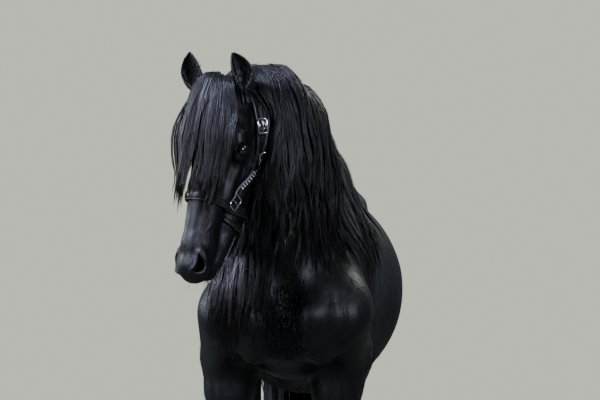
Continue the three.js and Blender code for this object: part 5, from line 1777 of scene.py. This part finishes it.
# %% Meshes of the halter
def mesh_object(name, points, faces, material, slot, nodes, smooth_angle=40):
    mesh = bpy.data.meshes.new(name)
    mesh.from_pydata(to_model(points).tolist(), [], [list(map(int, f)) for f in faces])
    mesh.validate()
    obj = bpy.data.objects.new(name, mesh)
    bpy.context.collection.objects.link(obj)
    mesh.materials.append(material)
    faces_outwards(obj)
    bpy.ops.object.shade_smooth_by_angle(angle=math.radians(smooth_angle))
    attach(obj, "root")
    if nodes:
        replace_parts(obj, *nodes)
    return obj


def tube_faces(rings, sides, closed):
    faces = []
    for r in range(rings if closed else rings - 1):
        a, b = r * sides, (r + 1) % rings * sides
        faces += [(a + s, a + (s + 1) % sides, b + (s + 1) % sides, b + s) for s in range(sides)]
    if not closed:
        faces += [tuple(range(sides))[::-1], tuple((rings - 1) * sides + s for s in range(sides))]
    return faces


def joined(parts):
    """Points and faces of several pieces as those of one."""
    points, faces, total = [], [], 0
    for p, f in parts:
        points.append(p)
        faces += [tuple(c + total for c in face) for face in f]
        total += len(p)
    return np.concatenate(points), faces


def many(shape_points, shape_faces, places, axes):
    """Copies of one small shape at many places, each turned by its own three axes, as one mesh."""
    points = places[:, None] + np.einsum("pk,nkc->npc", np.asarray(shape_points, float), axes)
    size = len(shape_points)
    faces = [tuple(c + k * size for c in face) for k in range(len(places)) for face in shape_faces]
    return points.reshape(-1, 3), faces

# %% Leather and thread
# Bridle leather is dyed through, waxed and pressed: near black, with a soft gloss that its grain breaks up.
leather_material, tree, shader = new_material("black_bridle_leather")
place = add_node(tree, "ShaderNodeTexCoord").outputs["Object"]
# Real grain is near 0.4 mm. It is drawn at 1.2 mm, as finer grain is lost at this distance.
grain = add_node(tree, "ShaderNodeTexVoronoi", {"Scale": 830.0, "Randomness": 1.0}, {"Vector": place})
creases = add_node(tree, "ShaderNodeTexNoise", {"Scale": 60.0, "Detail": 5.0}, {"Vector": place})
creases = creases.outputs["Fac"]
leather_tone, leather_gloss = (
    add_node(tree, "ShaderNodeValToRGB", {"stops": [(0.3, low), (0.7, high)]}, {"Fac": creases})
    for low, high in (("#0E0D0F", "#1D1B1D"), (0.3, 0.46))
)
crease_bump = add_node(tree, "ShaderNodeBump", {"Strength": 0.25, "Distance": 0.0008}, {"Height": creases})
grain_bump = add_node(tree, "ShaderNodeBump", {"Strength": 0.3, "Distance": 0.0002},
                      {"Height": grain.outputs["Distance"], "Normal": crease_bump.outputs["Normal"]})
wire(tree, shader, {
    "Base Color": leather_tone.outputs["Color"], "Roughness": leather_gloss.outputs["Color"],
    "Normal": grain_bump.outputs["Normal"],
})

# Waxed thread is dull, and a shade paler than the leather
thread_material, tree, shader = new_material(
    "waxed_linen_thread", {"Base Color": hex_colour("#4A4744"), "Roughness": 0.6}
)

# %% Lay the straps
PADDING = 4.6  # thickness of a strap along its padded middle
straps = {
    "halter_noseband": Strap(harness_distance, nose_ribs(160), 25.0, True),
    "halter_chin_strap": Strap(harness_distance, chin_ribs(70), 20.0),
    "halter_crown_strap": Strap(harness_or_neck, crown_ribs(150), 24.0),
    "halter_cheek_strap_left": Strap(harness_distance, cheek_ribs(60, 1), 22.0),
    "halter_cheek_strap_right": Strap(harness_distance, cheek_ribs(60, -1), 22.0),
}
for node, strap in straps.items():
    section = strap_section(strap.width, PADDING)
    points = strap.lay(section)
    faces = tube_faces(len(points), len(section), strap.closed)
    mesh_object(node + "_leather", points.reshape(-1, 3), faces, leather_material, "strap_leather", [node])
    print(node, strap.width, "mm wide")

# %% Stitches along both edges
STITCH_GAP = 5.0  # real ones are 3 mm apart; wider here, as finer ones are lost at this distance
stitch_shape = [
    (-1.9, 0, -0.3), (-1.0, -0.55, 0.35), (1.0, -0.55, 0.35), (1.9, 0, -0.3),
    (1.0, 0.55, 0.35), (-1.0, 0.55, 0.35), (-1.0, 0, 0.7), (1.0, 0, 0.7),
]
stitch_faces = [(0, 1, 6), (0, 6, 5), (1, 2, 7, 6), (5, 6, 7, 4), (2, 3, 7), (3, 4, 7), (0, 5, 4, 3, 2, 1)]
seams = []
for strap in straps.values():
    place, run, side, out = strap.spaced(STITCH_GAP)
    for edge in (-1, 1):
        at = place + edge * (strap.width / 2 - 2.0) * side + 2.45 * out
        seams.append(many(stitch_shape, stitch_faces, at, np.stack([run, side, out], axis=1)))
mesh_object("halter_stitches", *joined(seams), thread_material, "strap_leather", [])
print("stitches:", sum(len(points) for points, _ in seams) // len(stitch_shape))

# %% [markdown]
# The metal of the halter is bright steel: square rings where the noseband meets the cheek straps, round
# rings with a snap at the cheeks, long curved buckles at the crown strap. Each is a round bar bent along a
# line.

# %% Steel
# Polished steel mirrors the lights sharply, and fine scuffs dull it in places
steel_material, tree, shader = new_material(
    "polished_steel", {"Base Color": hex_colour("#DADCE0"), "Metallic": 1.0}
)
place = add_node(tree, "ShaderNodeTexCoord").outputs["Object"]
scuffs = add_node(tree, "ShaderNodeTexNoise", {"Scale": 240.0, "Detail": 4.0}, {"Vector": place})
steel_gloss = add_node(tree, "ShaderNodeValToRGB", {"stops": [(0.35, 0.08), (0.75, 0.24)]},
                       {"Fac": scuffs.outputs["Fac"]})
wire(tree, shader, {"Roughness": steel_gloss.outputs["Color"]})

# %% Bars bent along a line
def face_frame(side, spot, lift, tilt):
    """A place on the side of the head: point, across, up and outwards."""
    out = side * head_left
    at = surface_along(harness_or_neck, on_head(side * 44, *spot)[None], out[None], lift)
    _, normal = slope(harness_or_neck, at, 4)
    normal = normal[0]
    up = -head_down + tilt * head_back
    up = unit(up - normal * (up @ normal))
    return at[0], np.cross(up, normal), up, normal


def bar(line, radius, sides=10, closed=True):
    """A round bar along a line of points."""
    line = np.asarray(line, float)
    run = run_of(line, closed)
    # The least turned direction is carried along, so that the bar does not twist
    normal = np.cross(run[0], (0.31, 0.87, 0.38))
    frames = []
    for tangent in run:
        normal = unit(normal - tangent * (normal @ tangent))
        frames.append((normal, np.cross(tangent, normal)))
    angle = 2 * np.pi * np.arange(sides) / sides
    radius = np.broadcast_to(radius, len(line))
    rings = [
        p + r * (np.cos(angle)[:, None] * n + np.sin(angle)[:, None] * b)
        for p, r, (n, b) in zip(line, radius, frames)
    ]
    return np.concatenate(rings), tube_faces(len(line), sides, closed)


def rounded_box_line(width, height, corner, steps=7):
    """A line round a rectangle with rounded corners, as (across, up) pairs."""
    line = []
    for k, (sx, sy) in enumerate(((1, 1), (-1, 1), (-1, -1), (1, -1))):
        for a in np.linspace(0, np.pi / 2, steps) + k * np.pi / 2:
            line.append((
                sx * (width / 2 - corner) + corner * np.cos(a),
                sy * (height / 2 - corner) + corner * np.sin(a),
            ))
    return np.array(line)


def oval(middle, half_width, half_height, angle):
    """An oval or a part of it, as (across, up) pairs."""
    return np.stack([middle[0] + half_width * np.cos(angle), middle[1] + half_height * np.sin(angle)], axis=1)


def on_face(frame, pairs, rise=0.0, curve=0.0):
    """Pairs laid on a place of the head, at a rise over it, and curved outwards along the middle."""
    at, across, up, out = frame
    pairs = np.asarray(pairs, float)
    rise = rise + curve * (1 - (pairs[:, 1] / max(np.abs(pairs[:, 1]).max(), 1e-6)) ** 2)
    return at + pairs[:, :1] * across + pairs[:, 1:2] * up + np.reshape(rise, (-1, 1)) * out

# %% Rings, snaps and buckles
SNAP_RISE = 1.5
full_turn = 2 * np.pi * np.arange(40) / 40
hook_turn = np.linspace(0.5 * np.pi, 2.2 * np.pi, 22)


def metal_piece(name, bars, node):
    mesh_object(name, *joined(bars), steel_material, "silver_metal", [node])


for word, side in SIDES:
    # Square ring, with a bar across it that holds the ends of the straps
    here = face_frame(side, NOSE_RING, 7, 0.5)
    square = bar(on_face(here, rounded_box_line(33, 41, 6)), 2.4)
    cross_bar = bar(on_face(here, [(x, 0) for x in np.linspace(-16, 16, 8)]), 1.5, closed=False)
    metal_piece(f"halter_square_ring_{word}", [square, cross_bar], f"halter_nose_ring_{word}")
    # Round ring with a snap hook below it
    here = face_frame(side, CHEEK_RING, 6.5, 0)
    ring = bar(on_face(here, oval((0, 0), 15, 15, full_turn)), 2.5)
    eye_loop = bar(on_face(here, oval((-6, -19), 6, 6.5, full_turn), SNAP_RISE), 1.6)
    stem_line = [(-6, -25), (-6, -29), (-7, -34), (-8, -40)]
    stem = bar(on_face(here, stem_line, SNAP_RISE), [3.2, 2.4, 3.0, 2.2], closed=False)
    hook_line = oval((-9, -49), 7, 9, hook_turn)
    hook = bar(on_face(here, hook_line, SNAP_RISE), np.linspace(2.4, 1.5, 22), closed=False)
    gate = bar(on_face(here, [(-3.2, -41), (-2.6, -45), (-2.6, -50)], SNAP_RISE), 1.3, closed=False)
    metal_piece(f"halter_snap_{word}", [ring, eye_loop, stem, hook, gate], f"halter_cheek_ring_{word}")
    # Long buckle, curved to the strap, with a small frame, a tongue and a cross bar inside it
    here = face_frame(side, BUCKLE, 8.5, -0.35)
    outer = bar(on_face(here, rounded_box_line(29, 44, 9), 0, 3.5), 2.6)
    inner = bar(on_face(here, rounded_box_line(20, 20, 5), 0, 2.0), 1.2)
    tongue = bar(on_face(here, [(0, up) for up in (-20, -8, 6, 19, 22)], 2.2, 2.6), 1.7, closed=False)
    cross_bar = bar(on_face(here, [(-13, -19.5), (0, -20.5), (13, -19.5)]), 1.8, closed=False)
    metal_piece(f"halter_long_buckle_{word}", [outer, inner, tongue, cross_bar], f"halter_buckle_{word}")
print("rings, snaps and buckles:", 3 * len(SIDES))

# %% [markdown]
# A double row of cut stones runs along each cheek strap. Each stone sits in a small bright cup and has a
# flat top with two rings of facets round it, which is what makes it sparkle.

# %% Stones in their cups
crystal_material, tree, shader = new_material("cut_crystal", {
    "Base Color": hex_colour("#F2F6FA"), "Roughness": 0.02, "IOR": 1.9,
    "Transmission Weight": 0.35, "Coat Weight": 1.0,
})

STONE_GAP, STONE_SIZE = 9.6, 2.4
ROW_GAP, STONE_RISE = 3.3, 5.0  # from the middle of the strap, sideways and up
octagon = np.arange(8) * np.pi / 4
stone_shape = [
    *[(0.55 * math.cos(a), 0.55 * math.sin(a), 1.0) for a in octagon],
    *[(math.cos(a + 0.39), math.sin(a + 0.39), 0.45) for a in octagon],
    (0, 0, -0.6),
]
stone_faces = [tuple(range(8))]
for s in range(8):
    n = (s + 1) % 8
    stone_faces += [(s, 8 + s, n), (n, 8 + s, 8 + n), (8 + n, 8 + s, 16)]
cup_sides = np.arange(10) * np.pi / 5
cup_levels = [(1.0, -0.7), (1.28, -0.5), (1.3, 0.3), (1.14, 0.62), (0.98, 0.45)]
cup_shape = [(r * math.cos(a), r * math.sin(a), h) for r, h in cup_levels for a in cup_sides]
cup_faces = tube_faces(len(cup_levels), 10, False)
for word, _ in SIDES:
    # The five places nearest to each end are left to the rings
    place, run, side, out = (row[5:-5] for row in straps[f"halter_cheek_strap_{word}"].spaced(STONE_GAP))
    at = np.concatenate([place + (row * ROW_GAP * side + STONE_RISE * out) for row in (-1, 1)])
    axes = STONE_SIZE * np.tile(np.stack([run, side, out], axis=1), (2, 1, 1))
    for name, shape, faces, material, slot, angle in (
        ("halter_stone_row_", stone_shape, stone_faces, crystal_material, "stones", 5),
        ("halter_stone_cups_", cup_shape, cup_faces, steel_material, "silver_metal", 50),
    ):
        points, faces = many(shape, faces, at, axes)
        mesh_object(name + word, points, faces, material, slot, [f"halter_stones_{word}"], angle)
    print("stones", word, len(at))

# %% [markdown]
# Keepers are short leather loops that hold the free end of a strap. Beside the rings they stand for the
# folded ends of the straps.

# %% Keepers and folded ends
def keeper(strap, share, length, thick=2.0, height=6.0):
    """A leather loop round a strap at a share of its length."""
    index = int(share * (len(strap.place) - 1))
    at, run, side, out = (table[index] for table in (strap.place, strap.run, strap.side, strap.out))
    w = strap.width / 2 + 1.6
    outline = [
        (-w, -0.5), (w, -0.5), (w + thick, 0.5), (w + thick, height), (w + 0.4, height + thick * 0.8),
        (-w - 0.4, height + thick * 0.8), (-w - thick, height), (-w - thick, 0.5),
    ]
    rings = []
    for step, shrink in ((-0.5, 0.94), (-0.42, 1.0), (0.42, 1.0), (0.5, 0.94)):
        rings.append([at + step * length * run + shrink * a * side + shrink * h * out for a, h in outline])
    return np.array(rings).reshape(-1, 3), tube_faces(4, len(outline), False)


# Strap, length of its keepers, and their places as shares of the strap
KEEPERS = [
    ("chin_strap", 13, (0.2, 0.86)), ("crown_strap", 11, (0.1, 0.9)), ("noseband", 12, (0.05, 0.45)),
    ("cheek_strap_left", 12, (0.1, 0.93)), ("cheek_strap_right", 12, (0.1, 0.93)),
]
loops = [
    keeper(straps["halter_" + name], share, length)
    for name, length, shares in KEEPERS for share in shares
]
print("keepers:", len(loops))
mesh_object("halter_keepers", *joined(loops), leather_material, "strap_leather", [])

# %% [markdown]
# The short coat lies flat and is mostly bump. Where it breaks the form it is made as tufts: small blades,
# each for some dozens of hairs, that overlap like tiles. They are smallest on the head and the lower legs,
# and stand out along the belly, under the jaw, at the breast, the elbow and the flank, on the ears and down
# the backs of the legs. None stands under a strap, which presses the coat flat.

# %% Coat tufts
TUFT_RINGS = 3
EAR_TUFTS_FROM = 6  # millimetres above the head
skin.data.calc_loop_triangles()
corners = read_all(skin.data.loop_triangles, "vertices", 3).reshape(-1, 3)
corner_a, corner_b, corner_c = (mesh_points(skin)[column] for column in corners.T)
face_cross = np.cross(corner_b - corner_a, corner_c - corner_a)
face_area = np.linalg.norm(face_cross, axis=1)
face_normal = unit(face_cross)
face_middle = (corner_a + corner_b + corner_c) / 3

# %% Where the tufts stand and how they lie
def under_a_strap(points):
    """1 where a strap presses the coat flat."""
    near = np.zeros(len(points))
    beside = np.flatnonzero((head_distance(points) < 40) | (body_distance(points) < 10) & (points[:, 1] < 0))
    for strap in straps.values():
        for k in range(0, len(strap.place), 2):
            close = np.linalg.norm(points[beside] - strap.place[k], axis=1) < strap.width / 2 + 3
            near[beside[close]] = 1
    return near


face_free = (1 - bareness(face_middle)) * (1 - under_a_strap(face_middle))


def lie_of_coat(points, normal):
    headness, trunk = (share[:, None] for share in lie_shares(points))
    lie = lerp(lerp(-UP + 0.15 * BACK, TRUNK_LIE, trunk), head_down + 0.3 * head_back, headness)
    lie = np.where((height_at_ears(points) > EAR_TUFTS_FROM)[:, None], UP - 0.2 * LEFT, lie)
    return unit(lie - normal * np.sum(lie * normal, axis=1, keepdims=True))


def spot(a, middle_a, reach_a, b, middle_b, reach_b):
    """1 in the middle of an oval spot, fading outwards."""
    return np.exp(-(((a - middle_a) / reach_a) ** 2) - ((b - middle_b) / reach_b) ** 2)


def rough_places(points, normal):
    """1 where the coat is long enough to break the outline."""
    x, y, z = points.T
    _, along, back = in_head(points).T
    return np.clip(np.maximum.reduce([
        # Belly, backs of the legs, jaw, elbow, ears, breast and flank
        smooth(-normal[:, 2], 0.55, 0.9) * smooth(y, 250, 400) * (1 - smooth(y, 1250, 1400)) * (z > 800),
        smooth(normal[:, 1], 0.3, 0.8) * (z < 900),
        smooth(back, 150, 200) * (head_distance(points) < 12) * smooth(along, 60, 140),
        spot(y, 440, 90, z, 960, 90),
        0.3 * (height_at_ears(points) > EAR_TUFTS_FROM),
        0.6 * spot(x, 0, 46, z, 1080, 130) * (y < 60),
        0.7 * spot(y, 1080, 60, z, 1180, 160) * (np.abs(x + 20) > 150),
    ]), 0, 1)

# %% Plant the tufts
def coat_tufts(name, count, weight):
    chance = face_area * weight * face_free
    face = rng.choice(len(chance), count, p=chance / chance.sum())
    u, v = rng.random((2, count, 1))
    over = u + v > 1
    u, v = np.where(over, 1 - u, u), np.where(over, 1 - v, v)
    root = corner_a[face] + u * (corner_b - corner_a)[face] + v * (corner_c - corner_a)[face]
    normal = face_normal[face]
    lie = lie_of_coat(root, normal)
    across = np.cross(lie, normal)
    lie = unit(lie + across * rng.normal(0, 0.14, (count, 1)))
    headness, _ = lie_shares(root)
    rough = rough_places(root, normal)
    low_leg = 1 - smooth(root[:, 2], 500, 900)
    on_trunk, on_leg, on_face = 24, 14, 9
    longest = lerp(lerp(on_trunk, on_leg, low_leg), on_face, headness) * (1 + 0.7 * rough)
    length = longest * rng.uniform(0.7, 1.3, count)
    stand = lerp(0.04, 0.2, rough**2) * length
    lines = np.stack([
        root - normal * 0.6,
        root + lie * (0.5 * length)[:, None] + normal * (0.5 + stand * 0.75)[:, None],
        root + lie * length[:, None] + normal * (stand * lerp(0.5, 1.0, rough))[:, None],
    ], axis=1)
    widths = (0.1 * length + 0.5)[:, None] * np.array([[0.5, 1.0, 0.1]])
    tones = np.clip(rng.normal(0.4, 0.15, count), 0, 1)
    up = np.repeat(normal[:, None], TUFT_RINGS, axis=1)
    return strand_mesh(name, lines, widths, up, tones, skin_material, 0.12)


rough_of_face = rough_places(face_middle, face_normal)
in_front = 1 - smooth(face_middle[:, 1], 350, 450)
TUFTS_IN_FRONT, TUFTS_BEHIND = 18500, 9500
coat_tufts("coat_tufts_front", TUFTS_IN_FRONT, rough_of_face * in_front)
coat_tufts("coat_tufts_rear", TUFTS_BEHIND, rough_of_face * (1 - in_front))

# %% [markdown]
# Three kinds of single hairs finish the head: paler woolly hair in the cups of the ears, lashes on the
# upper lids, and long stiff whiskers at the lips, the chin and under the eyes.

# %% Hair in the ears, lashes and whiskers
def bristles(name, roots, starts, lengths, droop, widest, tones, rings=6):
    """Separate hairs that leave their roots along their starts and bend towards the droop."""
    t = np.linspace(0, 1, rings)[None, :, None]
    length = np.reshape(lengths, (-1, 1, 1))
    droop = np.broadcast_to(droop, starts.shape)
    lines = roots[:, None] + length * (t * starts[:, None] + t**2 * 0.5 * droop[:, None])
    widths = widest * rng.uniform(0.7, 1.2, (len(roots), 1)) * np.linspace(1, 0.2, rings)[None]
    up = np.repeat(unit(np.cross(starts, droop))[:, None], rings, axis=1)
    return strand_mesh(name, lines, widths, up, tones)


EAR_HAIRS, LASHES, LIP_WHISKERS, EYE_WHISKERS = 420, 44, 110, 5
for word, side in SIDES:
    count = EAR_HAIRS
    foot, tall, face, across = ear_frame(side)
    turn = rng.uniform(0.25, 0.93, count) * rng.choice([-1, 1], count)
    t = rng.uniform(0.1, 0.86, count)
    wall = ear_point(side, turn, t)
    middle = (foot + tall * (EAR_LENGTH * t)[:, None]) + face * 8
    inwards = unit(middle - wall)
    starts = unit(inwards * rng.uniform(0.5, 1.0, (count, 1)) + tall * 0.55 + face * 0.3)
    tones = rng.uniform(0.7, 1.0, count)
    lengths = rng.uniform(9, 26, count) * (1 - 0.5 * t)
    droop = tall * 0.8 + face * 0.2
    bristles(f"ear_hair_{word}", wall + inwards * EAR_WALL, starts, lengths, droop, 1.1, tones)

hairs = []  # of each: root, start, length and droop
for side in (1, -1):
    middle, along, brow, out = eye_frame(side)
    for k in np.linspace(-0.85, 0.85, LASHES):
        a = k * SLIT_HALF[0]
        b = SLIT_HALF[1] * (1 - 0.34 * abs(k) ** 2.2) * math.sqrt(1 - k * k) + 1.2
        depth = math.sqrt((EYE_RADIUS + LID) ** 2 - a * a - b * b)
        root = middle + a * along + b * brow + (depth - 1) * out
        start = unit(out + 0.35 * brow + 0.5 * k * along)
        hairs.append((root, start, 15 * (1 - 0.4 * k * k), head_down - 0.2 * out))
    for k in range(EYE_WHISKERS):
        root = middle + (10 * k - 22) * along - 21 * brow + 13 * out
        start = unit(out - 0.5 * brow + rng.normal(0, 0.15, 3))
        hairs.append((root, start, rng.uniform(30, 46), head_down * 0.6))
muzzle = on_head(0, 540, 95)
for _ in range(LIP_WHISKERS):
    side = rng.choice([-1, 1])
    aim = on_head(side * rng.uniform(4, 50), rng.uniform(510, 600), rng.uniform(74, 150))
    outward = unit(aim - muzzle)
    root = surface_along(head_distance, muzzle[None], outward[None], -COAT_DEPTH)[0]
    start = unit(outward + 0.4 * head_down + rng.normal(0, 0.12, 3))
    hairs.append((root, start, rng.uniform(12, 38), head_down * 0.5))
roots, starts, lengths, droop = (np.array(rows, float) for rows in zip(*hairs))
bristles("lashes_and_whiskers", roots, starts, lengths, droop, 0.9, np.full(len(roots), 0.55))
